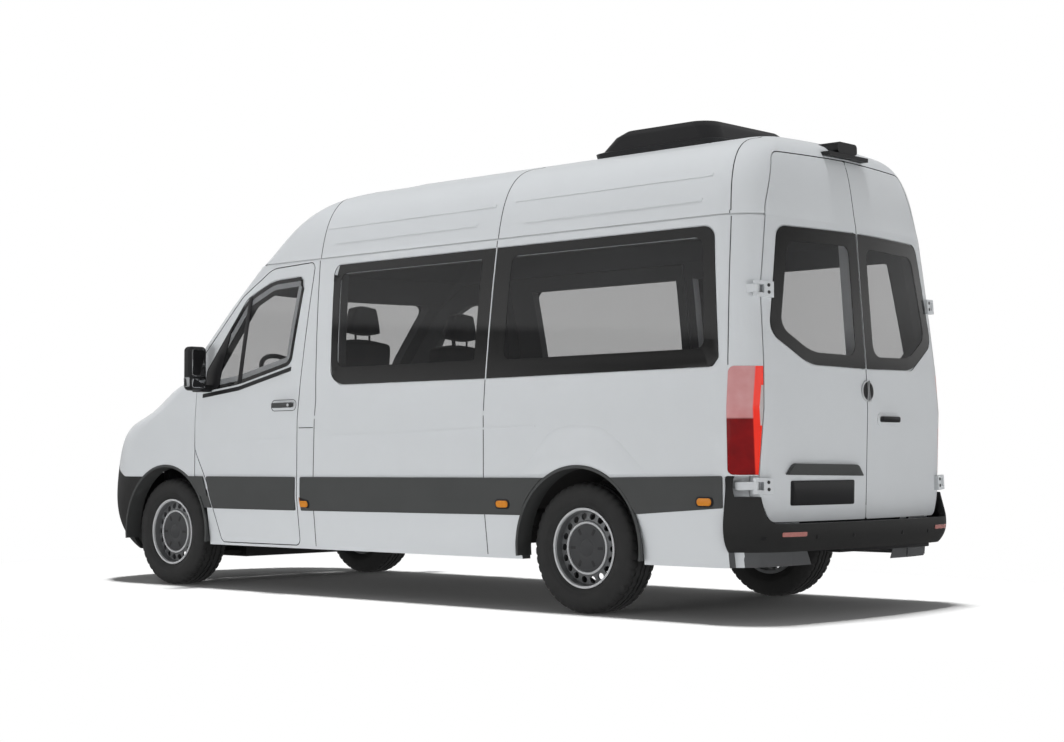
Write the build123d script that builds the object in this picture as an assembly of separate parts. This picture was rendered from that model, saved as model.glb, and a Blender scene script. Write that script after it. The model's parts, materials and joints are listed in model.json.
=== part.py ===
from build123d import *
import math
import os

# High-roof windowed van, in millimetres: +X forward, +Y left, +Z up, origin on the ground at mid-length.

# Driving sizes
LENGTH = 5932
WIDTH = 2020
ROOF_Z = 2556
WHEELBASE = 3665
FRONT_OVERHANG = 1004
TYRE_RADIUS = 354
TYRE_WIDTH = 235
WHEEL_Y = 858
FLOOR_Z = 610
SILL_Z = 282
BELT_Z = 1290
DRIP_Z = 2088

# Thicknesses and clearances
WALL = 65
FLOOR_THICK = 50
GLASS = 5
SHUT_GAP = 6
LAMP_GAP = 0.6
SEAT_GAP = 0.3
GLASS_GAP = 2.5
GLASS_BORDER = 62
MOULD_PROUD = 9
SKIN = 14
HOOD_THICK = 22
HOOD_GAP = 24
BUMPER_THICK = 32
PIN_RADIUS = 6
PIN_ROOM = 0.2
KNUCKLE_RADIUS = 15
KNUCKLE_LENGTH = 40
ARCH_ROOM = 82
TUB_SKIN = 10

# Places along the van
HALF = WIDTH / 2
FRONT_X = LENGTH / 2
REAR_X = -LENGTH / 2
FRONT_AXLE_X = FRONT_X - FRONT_OVERHANG
REAR_AXLE_X = FRONT_AXLE_X - WHEELBASE
BODY_REAR_X = REAR_X + 68
DOOR_FRONT_X = FRONT_AXLE_X - 320
DOOR_REAR_X = FRONT_AXLE_X - 1350
PILLAR_X = FRONT_AXLE_X - 1440
MID_X = PILLAR_X - 1530
CORNER_X = BODY_REAR_X + 205
COWL_X = FRONT_AXLE_X + 73
HOOD_REAR_X = COWL_X + 40
BEAM_X = FRONT_X - 150
ARCH_RADIUS = TYRE_RADIUS + ARCH_ROOM

# Body outline by height: z, side inset, rear inset, front x, rear bow, front bow, rear corner, front corner
BODY_ROWS = [
    (SILL_Z - 32, 48, 30, COWL_X + 65, 90, 200, 245, 90),
    (600, 4, 16, COWL_X + 65, 90, 200, 245, 90),
    (1095, 2, 0, COWL_X + 50, 90, 205, 245, 90),
    (1330, 20, 8, COWL_X, 90, 215, 245, 90),
    (1580, 48, 27, COWL_X - 200, 87, 215, 242, 90),
    (1830, 81, 45, COWL_X - 440, 84, 213, 236, 95),
    (DRIP_Z + 12, 122, 64, COWL_X - 720, 82, 210, 230, 100),
]

# Roof outline by height, in the same columns
ROOF_ROWS = [
    (DRIP_Z - 8, 119, 62, COWL_X - 700, 82, 210, 230, 100),
    (ROOF_Z - 226, 188, 102, COWL_X - 1000, 75, 190, 205, 110),
    (ROOF_Z - 116, 262, 132, COWL_X - 1175, 68, 170, 185, 120),
    (ROOF_Z - 40, 385, 183, COWL_X - 1430, 60, 150, 160, 130),
    (ROOF_Z, 530, 258, COWL_X - 1815, 52, 140, 130, 130),
]

# Nose outline by height: z, side inset, front inset, front bow, front corner
NOSE_ROWS = [
    (225, 92, 180, 290, 470),
    (330, 44, 62, 300, 510),
    (480, 14, 0, 300, 530),
    (700, 1, 8, 300, 530),
    (900, 0, 51, 305, 530),
    (1000, 1, 98, 320, 520),
    (1060, 2, 166, 335, 490),
    (1102, 3, 266, 345, 430),
    (1187, 9, 490, 350, 320),
    (1345, 21, 936, 345, 250),
    (1400, 30, 1096, 345, 230),
]

# Bumper outline at the back by height: z, side inset, rear inset
TAIL_BOW = 100
TAIL_CORNER_RADIUS = 330
TAIL_ROWS = [
    (362, 30, 34),
    (440, 2, 0),
    (520, -2, 2),
    (760, 0, 30),
]


def outline(z, half, rear, front, rear_bow, front_bow, rear_corner, front_corner):
    """One level plan line: straight sides, bowed ends and round corners."""
    def end(tip, bow, corner, way):
        radius = (bow * bow + half * half) / (2 * bow)
        centre = tip - way * radius
        cy = half - corner
        cx = centre + way * math.sqrt((radius - corner) ** 2 - cy ** 2)
        reach = radius / (radius - corner)
        side = (cx, half)
        face = (centre + reach * (cx - centre), reach * cy)
        mx = (side[0] + face[0]) / 2 - cx
        my = (side[1] + face[1]) / 2 - cy
        size = math.hypot(mx, my)
        return side, (cx + mx / size * corner, cy + my / size * corner), face

    def left(p):
        return (p[0], p[1], z)

    def right(p):
        return (p[0], -p[1], z)

    r_side, r_mid, r_face = end(rear, rear_bow, rear_corner, -1)
    f_side, f_mid, f_face = end(front, front_bow, front_corner, 1)
    return Wire([
        Edge.make_line(left(r_side), left(f_side)),
        Edge.make_three_point_arc(left(f_side), left(f_mid), left(f_face)),
        Edge.make_three_point_arc(left(f_face), (front, 0, z), right(f_face)),
        Edge.make_three_point_arc(right(f_face), right(f_mid), right(f_side)),
        Edge.make_line(right(f_side), right(r_side)),
        Edge.make_three_point_arc(right(r_side), right(r_mid), right(r_face)),
        Edge.make_three_point_arc(right(r_face), (rear, 0, z), left(r_face)),
        Edge.make_three_point_arc(left(r_face), left(r_mid), left(r_side)),
    ])


def levels(rows, depth):
    """Plan lines of a table of rows, shrunk by a depth."""
    wires = []
    for z, side, back, front, rear_bow, front_bow, rear_corner, front_corner in rows:
        drop = 0.9 * depth if z > ROOF_Z - 100 else 0
        wires.append(outline(z - drop, HALF - side - depth, BODY_REAR_X + back + depth, front - depth,
                             rear_bow, front_bow, max(rear_corner - depth, 20), max(front_corner - depth, 20)))
    return wires


def body(depth):
    """Solid inside the body line below the roof, shrunk by a depth."""
    return Solid.make_loft(levels(BODY_ROWS, depth), True)


def dome(depth):
    """Solid inside the roof line, shrunk by a depth."""
    return Solid.make_loft(levels(ROOF_ROWS, depth))


def nose(depth):
    """Solid inside the nose line, shrunk by a depth."""
    wires = []
    for z, side, back, bow, corner in NOSE_ROWS:
        wires.append(outline(z, HALF - side - depth, PILLAR_X, FRONT_X - back - depth,
                             10, bow, 20, corner - depth))
    return Solid.make_loft(wires)


def tail(depth):
    """Solid inside the back bumper line, shrunk by a depth."""
    wires = []
    for z, side, back in TAIL_ROWS:
        wires.append(outline(z, HALF - side - depth, REAR_X + back + depth, MID_X,
                             TAIL_BOW, 10, TAIL_CORNER_RADIUS - depth, 20))
    return Solid.make_loft(wires)


def slab(x0, x1, y0, y1, z0, z1):
    """Plain block between six limits."""
    return Pos((x0 + x1) / 2, (y0 + y1) / 2, (z0 + z1) / 2) * Box(x1 - x0, y1 - y0, z1 - z0)


def rod(x, y, z, radius, length, axis):
    """Round bar centred on a point along a named axis."""
    turn = {"x": Rot(0, 90, 0), "y": Rot(90, 0, 0), "z": Rot(0, 0, 0)}[axis]
    return Pos(x, y, z) * turn * Cylinder(radius, length)


def bar(start, finish, radius):
    """Round bar between two points."""
    a = Vector(*start)
    b = Vector(*finish)
    return Solid.make_cylinder(radius, (b - a).length, Plane(origin=a, z_dir=b - a))


def grow(rows, gap):
    """Outline rows (u, v, corner) moved outward by a gap."""
    count = len(rows)
    area = 0
    for i in range(count):
        u0, v0, _ = rows[i]
        u1, v1, _ = rows[(i + 1) % count]
        area += u0 * v1 - u1 * v0
    way = 1 if area > 0 else -1
    grown = []
    for i in range(count):
        u0, v0, _ = rows[i - 1]
        u1, v1, corner = rows[i]
        u2, v2, _ = rows[(i + 1) % count]
        a = math.hypot(u1 - u0, v1 - v0)
        b = math.hypot(u2 - u1, v2 - v1)
        nu0, nv0 = way * (v1 - v0) / a, -way * (u1 - u0) / a
        nu1, nv1 = way * (v2 - v1) / b, -way * (u2 - u1) / b
        scale = gap / (1 + nu0 * nu1 + nv0 * nv1)
        turn = way * ((u1 - u0) * (v2 - v1) - (v1 - v0) * (u2 - u1))
        fit = corner + gap if turn > 0 else corner - gap
        grown.append((u1 + scale * (nu0 + nu1), v1 + scale * (nv0 + nv1), max(fit, 0)))
    return grown


def loop(rows, place):
    """Closed face from outline rows (u, v, corner radius)."""
    count = len(rows)
    trims = []
    for i in range(count):
        u0, v0, _ = rows[i - 1]
        u1, v1, corner = rows[i]
        u2, v2, _ = rows[(i + 1) % count]
        au, av = u0 - u1, v0 - v1
        bu, bv = u2 - u1, v2 - v1
        a = math.hypot(au, av)
        b = math.hypot(bu, bv)
        au, av, bu, bv = au / a, av / a, bu / b, bv / b
        half = math.acos(max(-1, min(1, au * bu + av * bv))) / 2
        if corner <= 0 or half > 1.55:
            trims.append(((u1, v1), None, (u1, v1)))
            continue
        back = corner / math.tan(half)
        size = math.hypot(au + bu, av + bv)
        far = corner / math.sin(half) - corner
        middle = (u1 + far * (au + bu) / size, v1 + far * (av + bv) / size)
        trims.append(((u1 + back * au, v1 + back * av), middle, (u1 + back * bu, v1 + back * bv)))
    edges = []
    for i in range(count):
        start, middle, finish = trims[i]
        if middle:
            edges.append(Edge.make_three_point_arc(place(*start), place(*middle), place(*finish)))
        following = trims[(i + 1) % count][0]
        edges.append(Edge.make_line(place(*finish), place(*following)))
    return Face(Wire(edges))


def side_prism(rows, y0=300, y1=1400):
    """Outline seen from the side (x, z, corner), carried from y0 to y1."""
    return Solid.extrude(loop(rows, lambda u, v: (u, y0, v)), Vector(0, y1 - y0, 0))


def end_prism(rows, x0, x1):
    """Outline seen along the van (y, z, corner), carried from x0 to x1."""
    return Solid.extrude(loop(rows, lambda u, v: (x0, u, v)), Vector(x1 - x0, 0, 0))


def plan_prism(rows, z0, z1):
    """Outline seen from above (x, y, corner), carried from z0 to z1."""
    return Solid.extrude(loop(rows, lambda u, v: (u, v, z0)), Vector(0, 0, z1 - z0))


def flip(shape):
    """The same piece on the right-hand side."""
    return mirror(shape, about=Plane.XZ)


def put(shape, node):
    """Write one node."""
    solids = shape.solids()
    whole = solids[0] if len(solids) == 1 else Compound(children=list(solids))
    export_step(whole, "parts/" + node + ".step")


os.makedirs("parts", exist_ok=True)

# Body skins
outer = body(0)
inner = body(WALL)
shell = outer - inner
glass_band = body(0.5) - body(0.5 + GLASS)
rebate_band = outer - body(0.5 + GLASS + SEAT_GAP)
mould_band = body(-MOULD_PROUD) - body(-SEAT_GAP)
nose_outer = nose(0)
tail_outer = tail(0)

# Outlines seen from the side
FRONT_DOOR = [
    (DOOR_FRONT_X, BELT_Z + 185, 60),
    (DOOR_FRONT_X, 900, 160),
    (FRONT_AXLE_X - ARCH_RADIUS - 10, 690, 100),
    (FRONT_AXLE_X - ARCH_RADIUS - 130, SILL_Z + 22, 40),
    (DOOR_REAR_X + 10, SILL_Z + 22, 40),
    (DOOR_REAR_X, 1080, 300),
    (DOOR_REAR_X - 40, DRIP_Z - 14, 40),
    (DOOR_REAR_X + 370, DRIP_Z - 30, 200),
    (DOOR_REAR_X + 640, DRIP_Z - 195, 200),
]
DOOR_GLASS = [
    (DOOR_REAR_X + 32, DRIP_Z - 92, 60),
    (DOOR_REAR_X + 92, BELT_Z + 140, 70),
    (DOOR_FRONT_X - 432, BELT_Z + 30, 200),
    (DOOR_FRONT_X - 80, BELT_Z - 8, 30),
    (DOOR_FRONT_X - 90, BELT_Z + 130, 30),
    (DOOR_REAR_X + 590, DRIP_Z - 205, 150),
    (DOOR_REAR_X + 350, DRIP_Z - 105, 200),
]
FRONT_PANE = [
    (PILLAR_X - 140, DRIP_Z - 45, 60),
    (PILLAR_X - 205, BELT_Z + 55, 90),
    (PILLAR_X - 300, BELT_Z, 60),
    (MID_X + 6, BELT_Z, 4),
    (MID_X + 6, DRIP_Z - 45, 4),
]
REAR_PANE = [
    (MID_X - 6, DRIP_Z - 45, 4),
    (MID_X - 6, BELT_Z, 4),
    (CORNER_X + 45, BELT_Z + 12, 60),
    (CORNER_X + 135, DRIP_Z - 46, 70),
]
SLIDING_DOOR = [
    (PILLAR_X + 4, DRIP_Z - 14, 30),
    (PILLAR_X - 80, 1200, 200),
    (PILLAR_X - 50, SILL_Z + 22, 40),
    (MID_X, SILL_Z + 22, 40),
    (MID_X, DRIP_Z - 14, 10),
]
LAMP = [
    (BODY_REAR_X - 60, 754, 0),
    (CORNER_X, 754, 30),
    (CORNER_X, 1305, 30),
    (BODY_REAR_X - 60, 1305, 0),
]
TAIL_CORNER = [
    (REAR_X - 60, SILL_Z - 60, 0),
    (CORNER_X + 18, SILL_Z - 60, 0),
    (CORNER_X + 18, 748, 20),
    (REAR_X - 60, 748, 0),
]
NOSE_BUMPER = [
    (FRONT_X + 60, 868, 0),
    (FRONT_X - 276, 868, 60),
    (FRONT_X - 400, 770, 100),
    (FRONT_X - 530, 722, 60),
    (FRONT_AXLE_X + 200, 722, 0),
    (FRONT_AXLE_X + 200, 200, 0),
    (FRONT_X + 60, 200, 0),
]

# Outlines seen along the van
DOOR_TOP_Z = ROOF_Z - 108
REAR_DOOR = [
    (SHUT_GAP / 2, 512, 15),
    (800, 512, 70),
    (866, 640, 60),
    (868, 740, 300),
    (814, 1702, 800),
    (735, DRIP_Z + 50, 300),
    (618, DOOR_TOP_Z - 10, 70),
    (SHUT_GAP / 2, DOOR_TOP_Z, 15),
]
REAR_GLASS = [
    (SHUT_GAP / 2 + 18, DRIP_Z - 38, 15),
    (676, DRIP_Z - 46, 70),
    (790, BELT_Z + 190, 90),
    (500, BELT_Z + 30, 120),
    (SHUT_GAP / 2 + 18, BELT_Z + 22, 15),
]
WINDSCREEN = [
    (-900, BELT_Z + 45, 40),
    (900, BELT_Z + 45, 40),
    (822, DRIP_Z - 105, 90),
    (-822, DRIP_Z - 105, 90),
]
HEADLAMP = [
    (575, 1040, 20),
    (880, 1092, 20),
    (925, 1010, 30),
    (800, 872, 40),
    (600, 888, 40),
]
GRILLE = [
    (-545, 1034, 30),
    (545, 1034, 30),
    (560, 900, 40),
    (470, 690, 60),
    (-470, 690, 60),
    (-560, 900, 40),
]

# Arches over the wheels
arches = []
for axle_x in (FRONT_AXLE_X, REAR_AXLE_X):
    arch = rod(axle_x, 0, TYRE_RADIUS, ARCH_RADIUS, 2600, "y")
    arch += slab(axle_x - ARCH_RADIUS, axle_x + ARCH_RADIUS, -1300, 1300, 0, TYRE_RADIUS)
    arches.append(arch)
wheel_wells = []
for arch in arches:
    wheel_wells.append(arch & slab(-4000, 4000, 505, 1300, 0, 1500))

front_opening = side_prism(grow(FRONT_DOOR, SHUT_GAP))
rear_opening = end_prism(grow(REAR_DOOR, SHUT_GAP), REAR_X - 50, BODY_REAR_X + 260)
lamp_opening = side_prism(grow(LAMP, LAMP_GAP))
tail_opening = side_prism(grow(TAIL_CORNER, LAMP_GAP))
slide_opening = side_prism(grow(SLIDING_DOOR, SHUT_GAP))


def panel(source, rows, prism, panes):
    """Panel cut from a skin by an outline, with a rebate and a hole for each pane."""
    piece = source & prism(rows)
    for pane in panes:
        piece -= rebate_band & prism(grow(pane, GLASS_GAP))
        piece -= prism(grow(pane, -GLASS_BORDER))
    return piece


def rear_prism(rows):
    return end_prism(rows, REAR_X - 50, BODY_REAR_X + 260)


# Walls and roof
below_roof = slab(-4000, 4000, 0, 1500, SILL_Z, DRIP_Z)
POST_DEPTH = 44
wall = (shell & below_roof & slab(-4000, DOOR_REAR_X + 100, 0, 1500, 0, 3000)) - front_opening - rear_opening
wall -= lamp_opening
wall -= (outer - body(POST_DEPTH)) & tail_opening
wall -= wheel_wells[1]
wall -= slab(-4000, BODY_REAR_X + 110, -10, 560, 0, 3000)
left_wall = wall
for pane in (FRONT_PANE, REAR_PANE):
    left_wall -= rebate_band & side_prism(grow(pane, GLASS_GAP))
    left_wall -= side_prism(grow(pane, -GLASS_BORDER))
put(left_wall, "left_wall")
right_wall = wall - slide_opening
right_wall -= rebate_band & side_prism(grow(REAR_PANE, GLASS_GAP))
right_wall -= side_prism(grow(REAR_PANE, -GLASS_BORDER))
put(flip(right_wall), "right_wall")
sliding_door = panel(shell, SLIDING_DOOR, side_prism, [FRONT_PANE])
put(flip(sliding_door), "sliding_door")

gutter = slab(-4000, 4000, -1500, 1500, DRIP_Z, DRIP_Z + 8)
roof = (dome(0) - dome(WALL)) & slab(-4000, 4000, -1500, 1500, DRIP_Z + SEAT_GAP, 3000)
roof -= (dome(0) - dome(7)) & gutter
both_rear = rear_opening + flip(rear_opening)
both_rear += slab(REAR_X, BODY_REAR_X + 200, -20, 20, 500, DOOR_TOP_Z + SHUT_GAP)
roof -= both_rear
put(roof, "roof")

cab = shell & slab(DOOR_REAR_X + 100 + SEAT_GAP, 4000, -1500, 1500, SILL_Z, DRIP_Z)
cab -= front_opening + flip(front_opening)
cab -= wheel_wells[0] + flip(wheel_wells[0])
cab -= slab(FRONT_AXLE_X - ARCH_RADIUS, 4000, -1500, 1500, 0, FLOOR_Z - FLOOR_THICK)
cab -= (outer - body(2 * SKIN)) & slab(DOOR_FRONT_X, 4000, -1500, 1500, 0, BELT_Z + 10)
cab -= rebate_band & end_prism(grow(WINDSCREEN, GLASS_GAP), 900, 3000)
cab -= end_prism(grow(WINDSCREEN, -45), 900, 3000)
put(cab, "cab_frame")

# Panes fixed to the body
put(glass_band & end_prism(WINDSCREEN, 900, 3000), "windscreen")
front_pane = glass_band & side_prism(FRONT_PANE)
rear_pane = glass_band & side_prism(REAR_PANE)
put(Compound(children=[front_pane.solid(), rear_pane.solid()]), "left_panes")
put(Compound(children=[flip(front_pane).solid(), flip(rear_pane).solid()]), "right_panes")

# Front doors
front_door = panel(shell, FRONT_DOOR, side_prism, [DOOR_GLASS])
door_pane = glass_band & side_prism(DOOR_GLASS)
strip_rows = [
    (FRONT_AXLE_X - ARCH_RADIUS - 6, 727, 10),
    (FRONT_AXLE_X - ARCH_RADIUS - 75, 518, 10),
    (DOOR_REAR_X + 22, 518, 10),
    (DOOR_REAR_X + 18, 727, 10),
]
door_strip = mould_band & side_prism(strip_rows)
handle = slab(DOOR_REAR_X + 35, DOOR_REAR_X + 215, HALF + 6, HALF + 30, 1160, 1192)
handle = fillet(handle.edges(), 7)
handle += slab(DOOR_REAR_X + 45, DOOR_REAR_X + 75, HALF - 40, HALF + 16, 1164, 1188)
handle += slab(DOOR_REAR_X + 175, DOOR_REAR_X + 205, HALF - 40, HALF + 16, 1164, 1188)
handle -= body(-SEAT_GAP)
MIRROR_X = DOOR_FRONT_X - 120
mirror_case = slab(MIRROR_X - 45, MIRROR_X + 45, HALF + 24, HALF + 162, BELT_Z - 4, BELT_Z + 284)
mirror_case = fillet(mirror_case.edges(), 30)
mirror_foot = slab(MIRROR_X - 35, MIRROR_X + 70, HALF - 60, HALF + 60, BELT_Z - 10, BELT_Z + 34)
mirror_foot -= body(-SEAT_GAP)
mirror_unit = mirror_case + mirror_foot
for side_name, turn in (("left", lambda s: s), ("right", flip)):
    put(turn(front_door), side_name + "_door")
    put(turn(door_pane), side_name + "_door_pane")
    put(turn(Compound(children=[door_strip.solid(), handle.solid()])), side_name + "_door_trim")
    put(turn(mirror_unit), side_name + "_mirror")

# Rear doors with hinges
low_skin = shell & slab(REAR_X, MID_X, -1500, 1500, 0, DRIP_Z)
high_skin = (dome(0) - dome(WALL)) & slab(REAR_X, MID_X, -1500, 1500, DRIP_Z, 3000)
rear_door = panel(low_skin, REAR_DOOR, rear_prism, [REAR_GLASS])
rear_door += high_skin & rear_prism(REAR_DOOR)
rear_pane = glass_band & rear_prism(REAR_GLASS)
HINGE_LOW = (BODY_REAR_X + 86, 908, 698)
HINGE_HIGH = (BODY_REAR_X + 112, 857, 1702)
STRAP_TILT = 14
hinge_line = Vector(*HINGE_HIGH) - Vector(*HINGE_LOW)
hinge_way = hinge_line.normalized()
EDGE_LIP = 6
EDGE_ROOM = 64
hinge_frame = Plane(origin=HINGE_LOW, z_dir=hinge_way, x_dir=(1, 0, 0))
edge_room = hinge_frame * (Pos(0, 0, hinge_line.length / 2) * Cylinder(EDGE_ROOM, hinge_line.length + 80))
rear_door -= edge_room & body(EDGE_LIP)
lugs = []
straps = []
for point, depth in ((HINGE_LOW, POST_DEPTH), (HINGE_HIGH, 0)):
    here = Plane(origin=point, z_dir=hinge_way, x_dir=(1, 0, 0))
    lug = here * Cylinder(KNUCKLE_RADIUS, KNUCKLE_LENGTH)
    lug += here * (Rot(0, 0, 10) * Pos(55, 0, 0) * Box(110, 26, KNUCKLE_LENGTH))
    lug -= body(depth - SEAT_GAP)
    lug += here * Cylinder(PIN_RADIUS, 2 * KNUCKLE_LENGTH)
    lugs.append(lug)
    strap = None
    for way in (-1, 1):
        middle = way * (KNUCKLE_LENGTH * 0.75 + 1)
        leaf = here * (Pos(0, 0, middle) * Cylinder(KNUCKLE_RADIUS, KNUCKLE_LENGTH / 2))
        leaf += here * (Rot(0, 0, -STRAP_TILT) * Pos(0, -55, middle) * Box(26, 110, KNUCKLE_LENGTH / 2))
        strap = leaf if strap is None else strap + leaf
    strap += here * (Rot(0, 0, -STRAP_TILT) * Pos(7, -78, 0) * Box(40, 64, KNUCKLE_LENGTH * 2 + 2))
    strap -= body(-SEAT_GAP)
    strap -= here * Cylinder(PIN_RADIUS + PIN_ROOM, 3 * KNUCKLE_LENGTH)
    straps.append(strap.solids().sort_by(SortBy.VOLUME)[-1])
lug_solids = []
for lug in lugs:
    biggest = lug.solids().sort_by(SortBy.VOLUME)[-1]
    lug_solids.append(biggest)
    lug_solids.append(flip(biggest).solid())
put(Compound(children=lug_solids), "rear_hinge_lugs")
for side_name, turn in (("left", lambda s: s), ("right", flip)):
    put(turn(rear_door), "rear_" + side_name + "_door")
    put(turn(rear_pane), "rear_" + side_name + "_pane")
    put(turn(Compound(children=straps)), "rear_" + side_name + "_straps")

# Lamps and back bumper
tail_lamp = (shell & side_prism(LAMP)) - rear_opening
put(Compound(children=[tail_lamp.solid(), flip(tail_lamp).solid()]), "tail_lamps")
corner_cut = side_prism(TAIL_CORNER, -1400, 1400)
tail_bumper = (tail_outer - tail(BUMPER_THICK)) & corner_cut
tail_bumper -= end_prism([(-874, 505, 60), (874, 505, 60), (874, 1000, 0), (-874, 1000, 0)],
                         REAR_X - 50, BODY_REAR_X + 260)
notch = slab(REAR_X - 50, BODY_REAR_X + 215, 860, 962, HINGE_LOW[2] - 56, 800)
tail_bumper -= notch + flip(notch)
put(tail_bumper, "rear_bumper")

# Side strips on the walls and wings, cut back round the arches
ARCH_LIP = 14
wall_rows = [
    (PILLAR_X + 54, 727, 10),
    (PILLAR_X + 54, 518, 10),
    (REAR_AXLE_X + 200, 526, 0),
    (REAR_AXLE_X + 200, 733, 0),
]
back_rows = [
    (REAR_AXLE_X - 200, 737, 0),
    (REAR_AXLE_X - 200, 530, 0),
    (CORNER_X + 24, 585, 10),
    (CORNER_X + 24, 748, 10),
]
wing_rows = [
    (FRONT_AXLE_X - ARCH_RADIUS + 30, 727, 10),
    (FRONT_AXLE_X - ARCH_RADIUS - 20, 600, 10),
    (FRONT_AXLE_X, 600, 0),
    (FRONT_AXLE_X, 727, 0),
]
arch_rings = []
for axle_x in (FRONT_AXLE_X, REAR_AXLE_X):
    arch_rings.append(rod(axle_x, 0, TYRE_RADIUS, ARCH_RADIUS + ARCH_LIP, 2600, "y"))
wall_strip = (mould_band & side_prism(wall_rows)) - arch_rings[1]
back_strip = (mould_band & side_prism(back_rows)) - arch_rings[1]
wing_band = nose(-MOULD_PROUD) - nose(-SEAT_GAP)
wing_strip = (wing_band & side_prism(wing_rows)) - arch_rings[0] - front_opening
slide_strip = wall_strip & slab(MID_X + 4, PILLAR_X - 60, 0, 1500, 0, 3000)
after_slide = wall_strip & slab(-4000, MID_X - 10, 0, 1500, 0, 3000)
strips = [wall_strip.solid(), back_strip.solid(), wing_strip.solid()]
for piece in (slide_strip, after_slide, back_strip, wing_strip):
    strips.append(flip(piece).solid())
put(Compound(children=strips), "side_strips")

# Nose: wings, bonnet, bumper, lamps and grille
headlamp_prism = end_prism(HEADLAMP, FRONT_X - 480, FRONT_X + 60)
headlamp_room = end_prism(grow(HEADLAMP, LAMP_GAP), FRONT_X - 482, FRONT_X + 60)
HOOD_HALF = 800
HOOD_EDGE_Z = 1046
HOOD_PIN_Y = 150
HOOD_PIN_Z = 1317
hood_zone = slab(HOOD_REAR_X, FRONT_X + 60, -HOOD_HALF, HOOD_HALF, HOOD_EDGE_Z, 1600)
hood_room = slab(COWL_X - 400, FRONT_X + 60, -HOOD_HALF - SHUT_GAP, HOOD_HALF + SHUT_GAP,
                 HOOD_EDGE_Z - SHUT_GAP, 1600)
lamp_rooms = grow(HEADLAMP, SHUT_GAP)
hood_lamps = end_prism(lamp_rooms, FRONT_X - 486, FRONT_X + 60)
hood_lamps += flip(hood_lamps)
nose_under = Pos(-8, 0, -HOOD_THICK) * nose_outer
hood = (nose_outer & hood_zone) - nose_under
hood -= hood_lamps
hood = hood.solids().sort_by(SortBy.VOLUME)[-1]
scuttle_zone = slab(COWL_X - 400, HOOD_REAR_X - HOOD_GAP, -HOOD_HALF, HOOD_HALF, HOOD_EDGE_Z, 1600)
scuttle = (nose_outer & scuttle_zone) - nose_under
scuttle -= body(-SEAT_GAP)
scuttle = scuttle.solids().sort_by(SortBy.VOLUME)[-1]
for way in (-1, 1):
    pin_y = way * HOOD_PIN_Y
    hood += rod(HOOD_REAR_X + 2, pin_y, HOOD_PIN_Z, 10, 80, "y")
    hood += slab(HOOD_REAR_X + 2, HOOD_REAR_X + 40, pin_y - 40, pin_y + 40, HOOD_PIN_Z - 10, HOOD_PIN_Z - 2)
    hood -= rod(HOOD_REAR_X + 2, pin_y, HOOD_PIN_Z, PIN_RADIUS + PIN_ROOM, 90, "y")
    scuttle += rod(HOOD_REAR_X + 2, pin_y, HOOD_PIN_Z, PIN_RADIUS, 116, "y")
    for edge in (-1, 1):
        ear_y = pin_y + edge * 52
        scuttle += slab(HOOD_REAR_X - HOOD_GAP - 12, HOOD_REAR_X + 8, ear_y - 6, ear_y + 6,
                        HOOD_PIN_Z - 9, HOOD_PIN_Z + 5)
        scuttle += slab(HOOD_REAR_X - HOOD_GAP - 12, HOOD_REAR_X - HOOD_GAP, ear_y - 6, ear_y + 6,
                        HOOD_PIN_Z - 9, HOOD_PIN_Z + 14)
    hood -= slab(HOOD_REAR_X - 40, HOOD_REAR_X + 16, pin_y - 64, pin_y - 41, HOOD_PIN_Z - 30, HOOD_PIN_Z + 30)
    hood -= slab(HOOD_REAR_X - 40, HOOD_REAR_X + 16, pin_y + 41, pin_y + 64, HOOD_PIN_Z - 30, HOOD_PIN_Z + 30)
put(hood, "bonnet")
put(scuttle, "scuttle")
wing_skin = nose_outer - nose(SKIN)
bumper_room = side_prism(grow(NOSE_BUMPER, LAMP_GAP), -1400, 1400)
wing = wing_skin & slab(DOOR_FRONT_X - 300, FRONT_X, 0, 1500, SILL_Z, 1500)
wing -= front_opening
wing -= bumper_room
wing -= hood_room
wing -= headlamp_room
wing -= wheel_wells[0]
wing -= body(-SEAT_GAP) & slab(-4000, 4000, -1500, 1500, BELT_Z + 10 - SEAT_GAP, 3000)
wing -= slab(FRONT_X - 480, FRONT_X + 60, -10, HOOD_HALF, 0, 1500)
wing -= slab(-4000, DOOR_FRONT_X + SHUT_GAP, -1500, 1500, 0, 3000)
wing = wing.solids().sort_by(SortBy.VOLUME)[-1]
put(wing, "left_wing")
put(flip(wing), "right_wing")
front_bumper = (nose_outer - nose(BUMPER_THICK)) & side_prism(NOSE_BUMPER, -1400, 1400)
front_bumper -= wheel_wells[0] + flip(wheel_wells[0])
front_bumper -= headlamp_room + flip(headlamp_room)
front_bumper -= end_prism(grow(GRILLE, LAMP_GAP), FRONT_X - 480, FRONT_X + 60)
front_bumper -= slab(FRONT_X - 480, FRONT_X + 60, -430, 430, 420, 560)
put(front_bumper.solids().sort_by(SortBy.VOLUME)[-1], "front_bumper")
headlamp = (nose(1) - nose(70)) & headlamp_prism
put(Compound(children=[headlamp.solid(), flip(headlamp).solid()]), "headlamps")
grille = (nose(1) - nose(40)) & end_prism(GRILLE, FRONT_X - 480, FRONT_X + 60)
SLAT_STEP = 74
for row in range(4):
    slot_z = 742 + SLAT_STEP * row
    grille -= slab(FRONT_X - 480, FRONT_X + 60, -470 + 20 * abs(row - 2), 470 - 20 * abs(row - 2),
                   slot_z, slot_z + SLAT_STEP - 26)
put(grille, "grille")
put(slab(BEAM_X - 110, BEAM_X - 62, -440, 440, FLOOR_Z - FLOOR_THICK, 1000), "radiator")
SOCKET_BORE = 9
socket = rod(BEAM_X + 35 + SEAT_GAP, -330, 490, 22, 70, "x") - rod(BEAM_X + 40, -330, 490, SOCKET_BORE, 70, "x")
put(socket, "tow_socket")

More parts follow.
